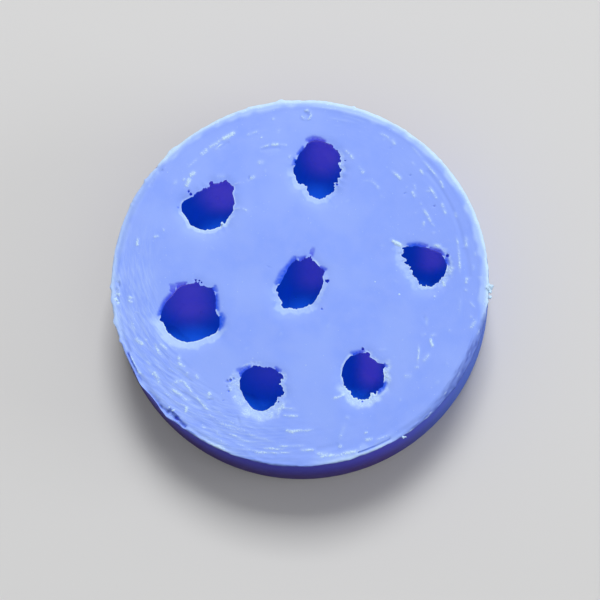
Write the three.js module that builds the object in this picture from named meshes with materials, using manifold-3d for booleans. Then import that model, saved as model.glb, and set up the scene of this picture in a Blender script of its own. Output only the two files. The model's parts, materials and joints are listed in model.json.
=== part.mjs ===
// A round block mold of poured silicone with seven stone-shaped cavities.
// Millimetres, +Z up. The origin is the centre of the flat underside.
// +Y points to the top of the cavity layout as it is seen from above.

import * as THREE from 'three';
import { ConvexGeometry } from 'three/addons/geometries/ConvexGeometry.js';
import { mergeVertices } from 'three/addons/utils/BufferGeometryUtils.js';
import Module from 'manifold-3d';

// Block
const face_radius = 37.5;
const base_radius = 38.6;
const block_height = 15;
const base_edge_round = 0.6;

// Rim flash: a feather edge that sits in a rebate round the face
const rim_width = 1.6;
const rim_seat_depth = 0.8;
const rim_lip_rise = 0.25;

// Mouth flash: a torn skin on a shallow ledge round each mouth
const skin_thickness = 0.7;
const skin_sag = 0.5;
const skin_overhang = 0.8;
const ledge_width = 1.2;

// Side clearance between a piece of flash and its recess
const side_clearance = 0.3;

// Cavity walls: how far each level of a stone lies under the face as a share of the cavity's
// depth, and how far its outline stands out from the mouth
const belly_level = 0.35;
const belly_bulge = 1.8;
const shoulder_level = 0.7;
const shoulder_bulge = 0.9;
const floor_bulge = -2.2;

// Six of the stones stood roughly on a ring, this far in from the edge of the face
const ring_margin = 14;

const round_segments = 96;
const edge_round_steps = 4;

// A place on the ring of stones, by its angle from +X and how far it strays outwards
function on_ring(degrees, stray) {
  const turn = THREE.MathUtils.degToRad(degrees);
  const reach = face_radius - ring_margin + stray;
  return [reach * Math.cos(turn), reach * Math.sin(turn)];
}

// The seven mouths. The edge's corners run clockwise round the torn opening, from its centre.
const mouths = [
  {
    name: 'mouth_flash_top',
    centre: on_ring(80.6, -0.3),
    depth: 10.5,
    edge: [
      [-2.3, 6.4], [1.2, 5.6], [4.6, 2.3], [5.0, -0.5], [3.2, -3.4], [3.1, -4.7],
      [0.5, -6.7], [-2.0, -5.4], [-2.3, -3.8], [-4.6, -2.3], [-4.8, 1.1], [-2.4, 4.7],
    ],
  },
  {
    name: 'mouth_flash_upper_left',
    centre: on_ring(140.8, 0.4),
    depth: 9.5,
    edge: [
      [0.2, 5.1], [1.2, 4.5], [2.6, 5.2], [5.1, 4.0], [5.4, 1.1], [4.1, -2.5],
      [0.9, -5.1], [-3.3, -4.1], [-5.2, -1.4], [-5.2, 0.6], [-3.5, 1.7], [-0.9, 3.2],
    ],
  },
  {
    name: 'mouth_flash_right',
    centre: on_ring(5.5, 1.5),
    depth: 9,
    edge: [
      [-3.4, 4.2], [-1.0, 4.4], [0.7, 3.5], [3.2, 2.7], [4.4, 0.1], [4.2, -1.2],
      [1.3, -4.4], [-1.2, -4.0], [-2.1, -2.4], [-2.9, -0.8], [-4.5, 1.9], [-4.2, 3.2],
    ],
  },
  {
    name: 'mouth_flash_centre',
    centre: [0.4, -0.6],
    depth: 10,
    edge: [
      [-1.4, 4.7], [0.3, 4.6], [2.3, 5.8], [2.1, 4.4], [5.0, 2.4], [4.2, -0.2],
      [2.9, -3.6], [0.5, -5.5], [-3.7, -5.7], [-4.5, -3.2], [-5.1, -2.2], [-3.1, 1.4],
    ],
  },
  {
    name: 'mouth_flash_left',
    centre: on_ring(197.5, -0.9),
    depth: 11,
    edge: [
      [-3.6, 5.8], [0.8, 6.2], [3.1, 4.9], [4.8, 5.3], [5.1, 2.2], [5.0, -0.2], [6.9, -1.1],
      [5.5, -4.0], [-0.4, -6.2], [-4.2, -4.1], [-6.8, -0.7], [-4.8, 2.8], [-3.1, 4.1],
    ],
  },
  {
    name: 'mouth_flash_lower_right',
    centre: on_ring(302.9, -0.1),
    depth: 10,
    edge: [
      [-2.7, 4.6], [-0.4, 5.1], [0.8, 4.1], [2.3, 2.7], [4.4, 1.9], [3.6, 1.0], [3.7, -1.6],
      [2.1, -3.7], [0.8, -3.6], [-0.5, -5.0], [-2.8, -3.5], [-4.5, -0.1], [-3.6, 2.7],
    ],
  },
  {
    name: 'mouth_flash_lower_left',
    centre: on_ring(251.6, -0.1),
    depth: 9.5,
    edge: [
      [-1.9, 4.4], [1.8, 4.0], [4.1, 1.9], [3.0, 0.7], [4.2, -0.4], [3.6, -1.8],
      [2.4, -3.2], [-0.3, -4.5], [-2.8, -2.6], [-4.3, 0.7], [-3.7, 3.0],
    ],
  },
];

const ledge_z = block_height - skin_thickness;
const rim_seat_z = block_height - rim_seat_depth;
const rebate_radius = face_radius - rim_width;

// Materials

function silicone(colour, roughness) {
  return new THREE.MeshStandardMaterial({ color: colour, roughness, metalness: 0 });
}

const block_silicone = silicone(0x7d97f2, 0.55);
const thin_silicone = silicone(0xa9c0fb, 0.6);

// Rings and prisms

function wall_radius(z) {
  return THREE.MathUtils.lerp(base_radius, face_radius, z / block_height);
}

// How far the convex outline round a torn edge reaches from the centre in one direction:
// the furthest crossing with a straight line between any two of the edge's corners
function convex_reach(corners, direction) {
  let reach = 0;
  for (const start of corners) {
    for (const end of corners) {
      const side = end.clone().sub(start);
      const slant = direction.cross(side);
      const along = start.cross(direction) / slant;
      const distance = start.cross(side) / slant;
      if (along >= 0 && along <= 1 && distance > reach) {
        reach = distance;
      }
    }
  }
  return reach;
}

function torn_corners(mouth) {
  return mouth.edge.map(([x, y]) => new THREE.Vector2(x, y)).reverse();
}

function ring_at(mouth, flat_points, z) {
  const [x, y] = mouth.centre;
  return flat_points.map((point) => new THREE.Vector3(x + point.x, y + point.y, z));
}

// The torn edge itself, counter-clockwise, at one height
function torn_ring(mouth, z) {
  return ring_at(mouth, torn_corners(mouth), z);
}

// The stone's outline: convex round the torn edge, and pushed out by a distance
function stone_ring(mouth, push, z) {
  const corners = torn_corners(mouth);
  const outline = corners.map((corner) => {
    const direction = corner.clone().normalize();
    const reach = Math.max(corner.length(), convex_reach(corners, direction));
    return direction.multiplyScalar(reach + push);
  });
  return ring_at(mouth, outline, z);
}

// Triangles between rings of equal count. Each ring is joined to the next, and the last
// either to the first or, where the shape has ends, to nothing.
function join_rings(rings, closed) {
  const count = rings[0].length;
  const positions = rings.flat().flatMap((point) => [point.x, point.y, point.z]);
  const index = [];
  const last = closed ? rings.length : rings.length - 1;
  for (let r = 0; r < last; r += 1) {
    const low = r * count;
    const high = ((r + 1) % rings.length) * count;
    for (let i = 0; i < count; i += 1) {
      const j = (i + 1) % count;
      index.push(low + i, low + j, high + j, low + i, high + j, high + i);
    }
  }
  return { positions, index };
}

function to_geometry({ positions, index }) {
  const geometry = new THREE.BufferGeometry();
  geometry.setAttribute('position', new THREE.Float32BufferAttribute(positions, 3));
  geometry.setIndex(index);
  geometry.computeVertexNormals();
  return geometry;
}

// A prism between two rings round a mouth's centre, closed by a fan at each end
function prism(mouth, low_ring, high_ring) {
  const [x, y] = mouth.centre;
  const shape = join_rings([low_ring, high_ring], false);
  const count = low_ring.length;
  const low_centre = 2 * count;
  shape.positions.push(x, y, low_ring[0].z, x, y, high_ring[0].z);
  for (let i = 0; i < count; i += 1) {
    const j = (i + 1) % count;
    shape.index.push(low_centre, j, i, low_centre + 1, count + i, count + j);
  }
  return to_geometry(shape);
}

// Booleans

const wasm = await Module();
wasm.setup();

function to_solid(geometry) {
  const bare = geometry.clone();
  bare.deleteAttribute('normal');
  bare.deleteAttribute('uv');
  const merged = mergeVertices(bare, 1e-4);
  return new wasm.Manifold(new wasm.Mesh({
    numProp: 3,
    vertProperties: new Float32Array(merged.attributes.position.array),
    triVerts: new Uint32Array(merged.index.array),
  }));
}

function from_solid(solid) {
  const mesh = solid.getMesh();
  return to_geometry({ positions: mesh.vertProperties, index: [...mesh.triVerts] });
}

// Sub-parts

// The puck before its cavities are cut: a tapered wall on a rounded base edge, and a rebate
// at the rim for the feather edge
function block_blank() {
  const profile = [new THREE.Vector2(0, 0)];
  for (let i = 0; i <= edge_round_steps; i += 1) {
    const turn = (Math.PI / 2) * (i / edge_round_steps);
    profile.push(new THREE.Vector2(
      wall_radius(base_edge_round) - base_edge_round * (1 - Math.sin(turn)),
      base_edge_round * (1 - Math.cos(turn)),
    ));
  }
  profile.push(new THREE.Vector2(wall_radius(rim_seat_z), rim_seat_z));
  profile.push(new THREE.Vector2(rebate_radius, rim_seat_z));
  profile.push(new THREE.Vector2(rebate_radius, block_height));
  profile.push(new THREE.Vector2(0, block_height));
  return new THREE.LatheGeometry(profile, round_segments).rotateX(Math.PI / 2);
}

// The hollow that one stone left: a faceted convex lump, widest at its belly, with its top
// cut off level with the ledge
function stone_hollow(mouth) {
  return new ConvexGeometry([
    ...stone_ring(mouth, floor_bulge, block_height - mouth.depth),
    ...stone_ring(mouth, shoulder_bulge, block_height - mouth.depth * shoulder_level),
    ...stone_ring(mouth, belly_bulge, block_height - mouth.depth * belly_level),
    ...stone_ring(mouth, skin_overhang, ledge_z),
  ]);
}

// The shallow recess that the torn skin sits in
function skin_recess(mouth) {
  const push = skin_overhang + ledge_width;
  const over = block_height + skin_thickness;
  return prism(mouth, stone_ring(mouth, push, ledge_z), stone_ring(mouth, push, over));
}

function mold_block() {
  let solid = to_solid(block_blank());
  for (const mouth of mouths) {
    solid = solid.subtract(to_solid(skin_recess(mouth)));
    solid = solid.subtract(to_solid(stone_hollow(mouth)));
  }
  return from_solid(solid);
}

// A ring of thin skin: flat on the ledge, sagging where it hangs out over the hollow
function mouth_flash(mouth) {
  const outer = skin_overhang + ledge_width - side_clearance;
  return to_geometry(join_rings([
    stone_ring(mouth, outer, ledge_z),
    stone_ring(mouth, outer, block_height),
    stone_ring(mouth, skin_overhang, block_height),
    torn_ring(mouth, block_height - skin_sag),
    torn_ring(mouth, ledge_z - skin_sag),
    stone_ring(mouth, skin_overhang, ledge_z),
  ], true));
}

// The feather edge: level with the face inside, with a low crest, flush with the wall outside
function rim_flash() {
  const inner = rebate_radius + side_clearance;
  const crest = (inner + face_radius) / 2;
  const profile = [
    new THREE.Vector2(inner, rim_seat_z),
    new THREE.Vector2(wall_radius(rim_seat_z), rim_seat_z),
    new THREE.Vector2(face_radius, block_height),
    new THREE.Vector2(crest, block_height + rim_lip_rise),
    new THREE.Vector2(inner, block_height),
    new THREE.Vector2(inner, rim_seat_z),
  ];
  return new THREE.LatheGeometry(profile, round_segments).rotateX(Math.PI / 2);
}

// Assembly

const mold = new THREE.Group();

function add(name, geometry, material) {
  const mesh = new THREE.Mesh(geometry, material);
  mesh.name = name;
  mold.add(mesh);
}

add('mold_block', mold_block(), block_silicone);
for (const mouth of mouths) {
  add(mouth.name, mouth_flash(mouth), thin_silicone);
}
add('rim_flash', rim_flash(), thin_silicone);

export default mold;
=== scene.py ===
"""The looks of a round silicone block mold with seven torn-mouthed cavities.

Metres, +Z up, origin at the centre of the flat underside. The whole casting is modelled
as one body first, and then parted into the block, the skins at the mouths and the lip at
the rim, so that their surfaces run on into each other. The tables of marks are in mm and
degrees, and degrees run from +X towards +Y.
"""

import json
import math

import bpy
import numpy as np
from mathutils import Matrix, Vector

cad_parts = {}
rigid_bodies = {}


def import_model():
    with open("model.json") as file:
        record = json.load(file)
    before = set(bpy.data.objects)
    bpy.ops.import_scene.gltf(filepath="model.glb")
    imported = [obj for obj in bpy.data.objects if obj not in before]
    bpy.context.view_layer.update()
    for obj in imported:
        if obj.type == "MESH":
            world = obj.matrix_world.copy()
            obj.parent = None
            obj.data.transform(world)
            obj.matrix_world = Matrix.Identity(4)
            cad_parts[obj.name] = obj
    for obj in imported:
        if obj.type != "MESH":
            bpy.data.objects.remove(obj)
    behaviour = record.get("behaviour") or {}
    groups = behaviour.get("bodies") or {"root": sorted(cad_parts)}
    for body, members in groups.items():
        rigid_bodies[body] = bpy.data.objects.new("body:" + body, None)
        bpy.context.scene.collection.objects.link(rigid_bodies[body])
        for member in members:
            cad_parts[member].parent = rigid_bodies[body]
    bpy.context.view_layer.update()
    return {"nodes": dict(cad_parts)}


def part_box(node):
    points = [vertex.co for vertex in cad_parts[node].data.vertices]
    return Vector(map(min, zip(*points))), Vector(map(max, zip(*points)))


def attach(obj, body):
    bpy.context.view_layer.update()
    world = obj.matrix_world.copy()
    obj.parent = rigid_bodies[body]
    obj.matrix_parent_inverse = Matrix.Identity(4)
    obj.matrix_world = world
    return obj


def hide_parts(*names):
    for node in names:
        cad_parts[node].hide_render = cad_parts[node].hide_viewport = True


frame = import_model()

mm = 0.001

# Block, from the frame
_, block_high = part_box("mold_block")
base_radius = block_high.x
face_level = block_high.z
face_radius = 37.5 * mm
base_edge_round = 0.6 * mm
top_edge_round = 0.22 * mm

# Where the casting is parted into pieces, and the fewest points that make a skin
ledge_drop = 1.1 * mm
skin_reach = 2.2 * mm
lip_width = 1.6 * mm
lip_drop = 0.95 * mm
cut_over = 2 * mm
tear_drop = 1.6 * mm
smallest_skin = 100

# Fineness of the casting's surface, before its marked places are refined
columns = 240
inner_ring_step = 0.36 * mm
middle_ring_step = 0.7 * mm
outer_ring_step = 1.0 * mm
inner_zone = 12 * mm
plain_zone = 22 * mm
outer_zone = 27 * mm
wall_ring_step = 1.4 * mm
under_rings = 18
under_margin = 1.2 * mm
base_edge_steps = 4
tear_step = 0.1 * mm
arc_step_in_mm = 0.12

# Where the surface is refined: round the mouths, and up the wall
mouth_margin = 2.5 * mm
mouth_close = 0.9 * mm
upper_wall = 6 * mm
wall_top_band = 12.6 * mm

# Skins at the mouths: how deep they sag, and how far their marks reach out and in
film_drop = 0.70 * mm
lip_sag = 0.56 * mm
least_sag = 0.22
lip_turn = math.radians(15)
lip_reach = 1.15 * mm
mouth_reach = 4 * mm
mouth_inside = 2.5 * mm
hollow_under = 0.80 * mm
crumb_relief = 0.05 * mm
ring_ends = 24

# Stones: the fineness of their surface, how far their marks start under the face, how far
# out their corners are looked for, and how much narrower than the mouth they end
stone_grain = 0.36 * mm
stone_marks_from = 1.5 * mm
stone_search = 3 * mm
stone_inset = 0.1 * mm

# The scraping blade: where it ran off the face, how it slanted inwards for each degree, and
# over how many degrees
blade_turn = 215
blade_pull = 0.17 * mm
blade_reach = 28

# Where the face was scraped: the middle and half the width of the stretch, and the share of
# the streaks that all the rest of the ring has
scraped_turn = 228
scraped_half = 42
scraped_elsewhere = 0.12

# The ring in which streaks set in, and the heights of streaks, strokes and worn grit
streak_zone = (26 * mm, 31 * mm)
streak_height = 0.036 * mm
scuff_height = 0.08 * mm
worn_height = 0.035 * mm

# Bands along the rim, from where they set in to where they are full
rim_slope = (face_radius - 1.75 * mm, face_radius - 0.1 * mm)
pale_band = (face_radius - 2.1 * mm, face_radius - 0.9 * mm)
pale_edge = (face_radius - 0.9 * mm, face_radius - 0.2 * mm)
rough_band = (face_radius - 1.4 * mm, face_radius - 0.7 * mm)
wall_band = (face_radius - 1 * mm, face_radius - 0.3 * mm)
wall_colour_band = (face_radius - 1.2 * mm, face_radius - 0.7 * mm)

# Bands up the wall, from where they set in to where they are full
relief_band = (face_level - 2.4 * mm, face_level - 0.05 * mm)
ragged_band = (face_level - 1.6 * mm, face_level)
tag_band = (face_level - 0.9 * mm, face_level)
top_band = (face_level - 1.25 * mm, face_level - 1.0 * mm)
slack_band = (0, 2 * mm)

# The underside: how far it is lifted in soft waves, and the ring in which that ends
under_lift = 0.03 * mm
under_ring = (base_radius - 5 * mm, base_radius - 2 * mm)

# A burst bubble near the upper rim, with its height in mm
bubble_place = (1.4 * mm, 34.1 * mm)
bubble_radius = 0.95 * mm
bubble_wall = 0.26 * mm
bubble_pit = 0.6 * mm
bubble_height = 0.16

# Swells of the face: height and size in mm, and seed
swells = [(0.06, 13, 3), (0.035, 4.5, 4)]

# Layers of noise round the axis, each with its strength, bumps in a full turn, size across
# the turn in mm, and seed
streak_layers = [(0.7, 28, 0.8, 5), (0.8, 60, 0.5, 6), (0.6, 120, 0.3, 16)]
grit_layers = [(1.0, 200, 0.2, 74), (0.6, 90, 0.4, 75)]
rim_layers = [(0.07, 130, 0.7, 71), (0.05, 300, 0.4, 72)]
ragged_layers = [(0.09, 150, 0.5, 8), (0.05, 400, 0.3, 9)]
slack_layers = [(0.035, 14, 5, 13), (0.012, 60, 1.2, 14)]

# Each mouth: its centre, its torn edge round that centre, the sunken films beside the edge
# as lines with half their width, pits with their radius and share of the full depth, the
# turns over which its edge is finely toothed and how much more, the pale rings round it, partly
# scuffed and partly a painted highlight on the sides that face the light (start and end angle,
# width, strength and how crumbly), and the painted violet glow in its hollow: its middle, up
# from where it is full, how far it reaches across and down, and its strength.
mouths = {
    "mouth_flash_top": {
        "centre": (3.8, 22.9),
        "edge": [(-0.6, 5.8), (-1.6, 5.6), (-2.3, 5.1), (-2.6, 4.4), (-3.7, 3.2), (-4.4, 1.8), (-4.8, 1.4),
                 (-4.8, 1.0), (-4.6, 0.8), (-5.1, 0.0), (-5.1, -0.9), (-4.0, -3.2), (-3.6, -3.4),
                 (-3.0, -3.4), (-2.3, -3.9), (-2.3, -4.5), (-1.9, -5.8), (-1.2, -6.3), (-0.4, -6.2),
                 (0.6, -6.6), (1.2, -6.3), (1.6, -5.8), (2.2, -5.7), (2.9, -5.2), (3.3, -4.6), (3.2, -3.7),
                 (3.3, -3.3), (4.4, -2.3), (4.5, -1.4), (5.2, -0.4), (4.7, -0.2), (4.2, 0.6), (4.3, 1.2),
                 (4.7, 1.1), (4.4, 1.8), (4.6, 2.4), (3.4, 4.1), (2.7, 4.8), (1.7, 5.1), (1.2, 5.4),
                 (0.4, 5.7)],
        "films": [([(-2.3, 5.9), (-1.2, 6.4), (0.3, 6.2), (1.2, 5.6)], 0.45),
                  ([(-3.2, 4.4), (-4.2, 3.0)], 0.3), ([(-4.9, 1.9), (-5.2, 0.6)], 0.22)],
        "pits": [(3.8, -3.7, 0.2, 1.0), (3.65, -3.55, 0.14, 1.0)],
        "toothed": [(-65, 60, 1.6), (195, 290, 1.0)],
        "rings": [(185, 300, 1.3, 0.55, 0.3), (300, 395, 0.7, 0.4, 0.5), (120, 185, 0.5, 0.2, 0.0)],
        "violet": (1.4, 5.4, 4.6, 3.8, 1.0),
    },
    "mouth_flash_upper_left": {
        "centre": (-18.5, 15.1),
        "edge": [(5.2, 4.0), (4.6, 4.2), (3.9, 5.0), (3.5, 5.2), (2.8, 5.2), (1.9, 4.7), (1.1, 4.7),
                 (0.8, 5.1), (0.5, 5.1), (0.3, 4.3), (-0.1, 3.5), (-0.5, 4.0), (-0.8, 4.0), (-1.2, 3.8),
                 (-1.1, 3.2), (-2.3, 2.8), (-3.5, 1.8), (-4.9, 1.1), (-5.4, 0.4), (-5.3, -1.2),
                 (-4.0, -2.9), (-3.4, -4.1), (-2.0, -4.7), (-0.2, -5.1), (1.0, -5.0), (2.0, -4.5),
                 (2.7, -4.3), (2.7, -3.6), (3.0, -3.4), (3.4, -3.8), (4.4, -2.2), (5.2, -1.2), (5.1, -0.3),
                 (5.5, 0.3), (5.3, 1.2), (5.0, 2.2), (5.0, 2.8), (5.3, 3.3)],
        "films": [],
        "pits": [(-3.9, 3.0, 0.2, 1.0), (-3.5, 2.4, 0.2, 1.0), (-6.0, -0.4, 0.16, 0.45),
                 (8.4, -5.4, 0.14, 0.4), (8.2, 5.6, 0.16, 0.35)],
        "toothed": [(40, 150, 1.7), (250, 325, 0.9)],
        "rings": [(190, 335, 0.9, 0.75, 0.5), (150, 190, 0.4, 0.35, 0.3), (335, 400, 0.4, 0.35, 0.3)],
        "violet": (2.4, 4.5, 5.0, 3.1, 1.0),
    },
    "mouth_flash_right": {
        "centre": (24.9, 2.4),
        "edge": [(-3.6, 3.8), (-4.3, 3.4), (-4.1, 3.1), (-4.4, 1.9), (-3.7, 1.0), (-3.9, 0.6), (-3.8, 0.4),
                 (-2.8, -0.5), (-3.0, -1.0), (-2.6, -1.4), (-2.2, -2.5), (-1.2, -3.3), (-1.3, -3.9),
                 (-1.2, -4.1), (-0.7, -4.0), (-0.4, -4.5), (0.2, -4.1), (1.4, -4.4), (3.2, -3.1),
                 (3.4, -2.4), (4.0, -1.9), (4.4, -0.9), (4.3, 0.1), (3.8, 1.3), (3.2, 2.4), (1.8, 2.9),
                 (0.8, 3.3), (0.2, 3.5), (-0.8, 3.7), (-2.0, 3.9), (-2.6, 3.7)],
        "films": [([(-3.2, 4.2), (-1.0, 4.3), (0.4, 3.9)], 0.42),
                  ([(1.2, 3.4), (3.1, 2.9), (3.8, 2.0)], 0.28), ([(4.4, 1.2), (4.6, 0.2)], 0.35)],
        "pits": [(4.45, 1.75, 0.26, 1.0), (4.6, 1.65, 0.2, 1.0)],
        "toothed": [(130, 290, 1.7), (290, 350, 1.0)],
        "rings": [(135, 250, 1.9, 0.5, 0.6), (250, 300, 0.8, 0.7, 0.6), (300, 420, 1.6, 0.5, 1.0)],
        "violet": (2.0, 2.6, 3.0, 2.0, 0.8),
    },
    "mouth_flash_centre": {
        "centre": (0.4, -0.6),
        "edge": [(-3.6, -5.6), (-2.4, -5.5), (-1.0, -5.8), (0.4, -5.5), (2.2, -4.8), (2.8, -4.0),
                 (3.5, -2.7), (4.1, -1.5), (4.4, -0.1), (4.2, 0.7), (4.6, 1.9), (3.8, 2.6), (2.9, 3.4),
                 (2.0, 4.2), (2.0, 4.6), (1.9, 5.1), (1.2, 5.0), (0.8, 4.3), (-0.2, 4.2), (-1.2, 4.2),
                 (-2.0, 3.6), (-2.6, 2.8), (-2.9, 2.0), (-3.5, 1.0), (-3.9, 0.1), (-4.3, -0.6),
                 (-4.8, -1.0), (-5.1, -2.1), (-4.3, -3.3), (-3.9, -4.5), (-4.1, -4.9)],
        "films": [([(-1.4, 4.7), (-3.1, 2.8), (-4.3, 1.3), (-5.0, -0.5)], 0.48),
                  ([(2.2, 5.2), (2.4, 6.3)], 0.38), ([(-0.6, 4.7), (0.8, 4.9)], 0.25),
                  ([(3.9, 2.7), (4.9, 2.3)], 0.25)],
        "pits": [(4.95, -0.2, 0.24, 1.0), (5.3, -0.15, 0.2, 1.0), (5.15, -0.5, 0.14, 1.0),
                 (-6.5, 2.7, 0.15, 0.4), (4.0, -5.9, 0.15, 0.5)],
        "toothed": [(55, 100, 2.0), (200, 290, 0.8)],
        "rings": [(150, 215, 1.0, 0.45, 0.2), (215, 300, 1.6, 0.6, 0.2), (300, 375, 1.0, 0.45, 0.3),
                  (20, 62, 0.5, 0.5, 0.6)],
        "violet": (2.5, 3.2, 4.5, 3.2, 0.65),
    },
    "mouth_flash_left": {
        "centre": (-21.6, -6.8),
        "edge": [(5.8, -2.9), (5.8, -1.2), (5.2, -0.5), (5.0, 0.2), (5.0, 2.0), (4.8, 3.8), (4.2, 4.8),
                 (3.1, 5.0), (1.7, 5.6), (1.7, 6.2), (1.3, 6.1), (0.9, 6.3), (0.5, 5.8), (-0.8, 5.6),
                 (-2.0, 5.3), (-2.9, 4.7), (-3.5, 3.7), (-4.7, 2.4), (-5.4, 1.2), (-5.9, -0.3),
                 (-6.1, -1.5), (-5.4, -2.3), (-4.7, -3.6), (-3.9, -4.6), (-2.8, -5.4), (-1.6, -5.9),
                 (-0.5, -6.2), (1.1, -5.9), (3.3, -5.1), (5.2, -4.2)],
        "films": [([(-3.0, 5.7), (-1.0, 5.95)], 0.32), ([(-4.2, 5.5), (-3.0, 5.4)], 0.22),
                  ([(-3.6, 4.1), (-5.4, 2.1), (-6.4, -0.5)], 0.4), ([(4.9, 5.1), (5.1, 4.2)], 0.35),
                  ([(5.2, 3.4), (5.45, 2.0), (5.55, 0.4)], 0.36),
                  ([(6.2, -0.6), (6.7, -1.4), (6.4, -2.9)], 0.5), ([(6.4, -2.9), (5.8, -3.6)], 0.35)],
        "pits": [(0.9, 6.4, 0.14, 1.0), (1.7, 6.3, 0.14, 1.0), (2.1, 5.9, 0.12, 1.0)],
        "toothed": [(65, 85, 2.0), (190, 230, 0.5)],
        "rings": [(190, 330, 1.9, 0.7, 0.15), (150, 190, 0.5, 0.3, 0.2), (330, 380, 0.5, 0.35, 0.3)],
        "violet": (-1.2, 3.6, 5.2, 3.6, 0.85),
    },
    "mouth_flash_lower_right": {
        "centre": (12.7, -19.6),
        "edge": [(-2.7, 3.7), (-3.6, 2.7), (-4.1, 1.7), (-4.4, 0.8), (-4.5, -0.2), (-4.2, -0.8),
                 (-4.1, -1.6), (-3.7, -2.8), (-3.1, -3.2), (-2.1, -4.6), (-1.2, -4.9), (-0.4, -4.7),
                 (0.0, -5.0), (0.8, -4.5), (1.0, -4.0), (0.9, -3.5), (1.5, -3.8), (2.1, -3.8), (2.9, -3.0),
                 (3.7, -2.0), (3.8, -0.4), (3.6, 0.9), (3.8, 1.2), (4.1, 1.5), (3.8, 2.0), (2.5, 2.3),
                 (2.2, 2.7), (1.1, 3.4), (1.0, 3.9), (0.6, 4.2), (-0.2, 4.3), (-1.2, 4.1), (-2.0, 3.8)],
        "films": [([(-2.4, 4.3), (-1.4, 4.5), (-0.3, 4.7)], 0.42), ([(4.0, 2.1), (4.4, 1.6)], 0.22),
                  ([(4.1, -1.8), (3.7, -2.8), (2.8, -3.6)], 0.42)],
        "pits": [(-0.5, -5.35, 0.18, 1.0), (-0.3, 5.0, 0.2, 1.0)],
        "toothed": [(60, 110, 1.2), (200, 330, 1.5)],
        "rings": [(205, 330, 1.8, 0.85, 0.8), (110, 205, 0.5, 0.5, 0.4), (330, 390, 1.5, 0.6, 1.0),
                  (40, 100, 0.6, 0.35, 0.8)],
        "violet": (1.4, 2.0, 2.6, 3.0, 1.0),
    },
    "mouth_flash_lower_left": {
        "centre": (-7.4, -22.2),
        "edge": [(-3.2, 3.6), (-3.8, 3.0), (-4.4, 1.5), (-4.2, -0.1), (-3.4, -1.9), (-2.6, -3.0),
                 (-1.7, -4.0), (-0.6, -4.5), (0.4, -4.5), (1.1, -4.3), (2.5, -3.2), (2.9, -2.3),
                 (3.5, -1.8), (3.9, -1.8), (4.3, -1.3), (4.3, 0.1), (3.9, 0.5), (3.2, 0.7), (3.8, 1.2),
                 (3.9, 1.7), (4.1, 1.5), (4.2, 1.7), (3.9, 2.7), (2.8, 3.6), (1.9, 4.1), (0.6, 4.2),
                 (-0.6, 4.2), (-1.6, 4.6), (-2.2, 4.1)],
        "films": [([(-2.4, 4.3), (-3.7, 3.9), (-4.7, 3.6)], 0.42), ([(2.9, 4.0), (3.6, 3.5)], 0.35)],
        "pits": [(-6.7, 1.3, 0.25, 0.3), (-6.1, 1.6, 0.3, 0.55), (-5.5, 1.9, 0.2, 0.4),
                 (-6.9, 0.3, 0.15, 0.4), (-6.4, -0.6, 0.14, 0.5), (3.3, -2.7, 0.14, 1.0),
                 (-7.6, -2.4, 0.12, 0.5)],
        "toothed": [(300, 400, 1.1), (60, 120, 0.8)],
        "rings": [(150, 225, 2.4, 0.45, 1.0), (225, 330, 2.5, 0.6, 1.0), (330, 400, 0.8, 0.45, 0.6),
                  (90, 150, 1.2, 0.25, 0.8)],
        "violet": (1.5, 4.5, 6.0, 4.0, 0.45),
    },
}

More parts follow.
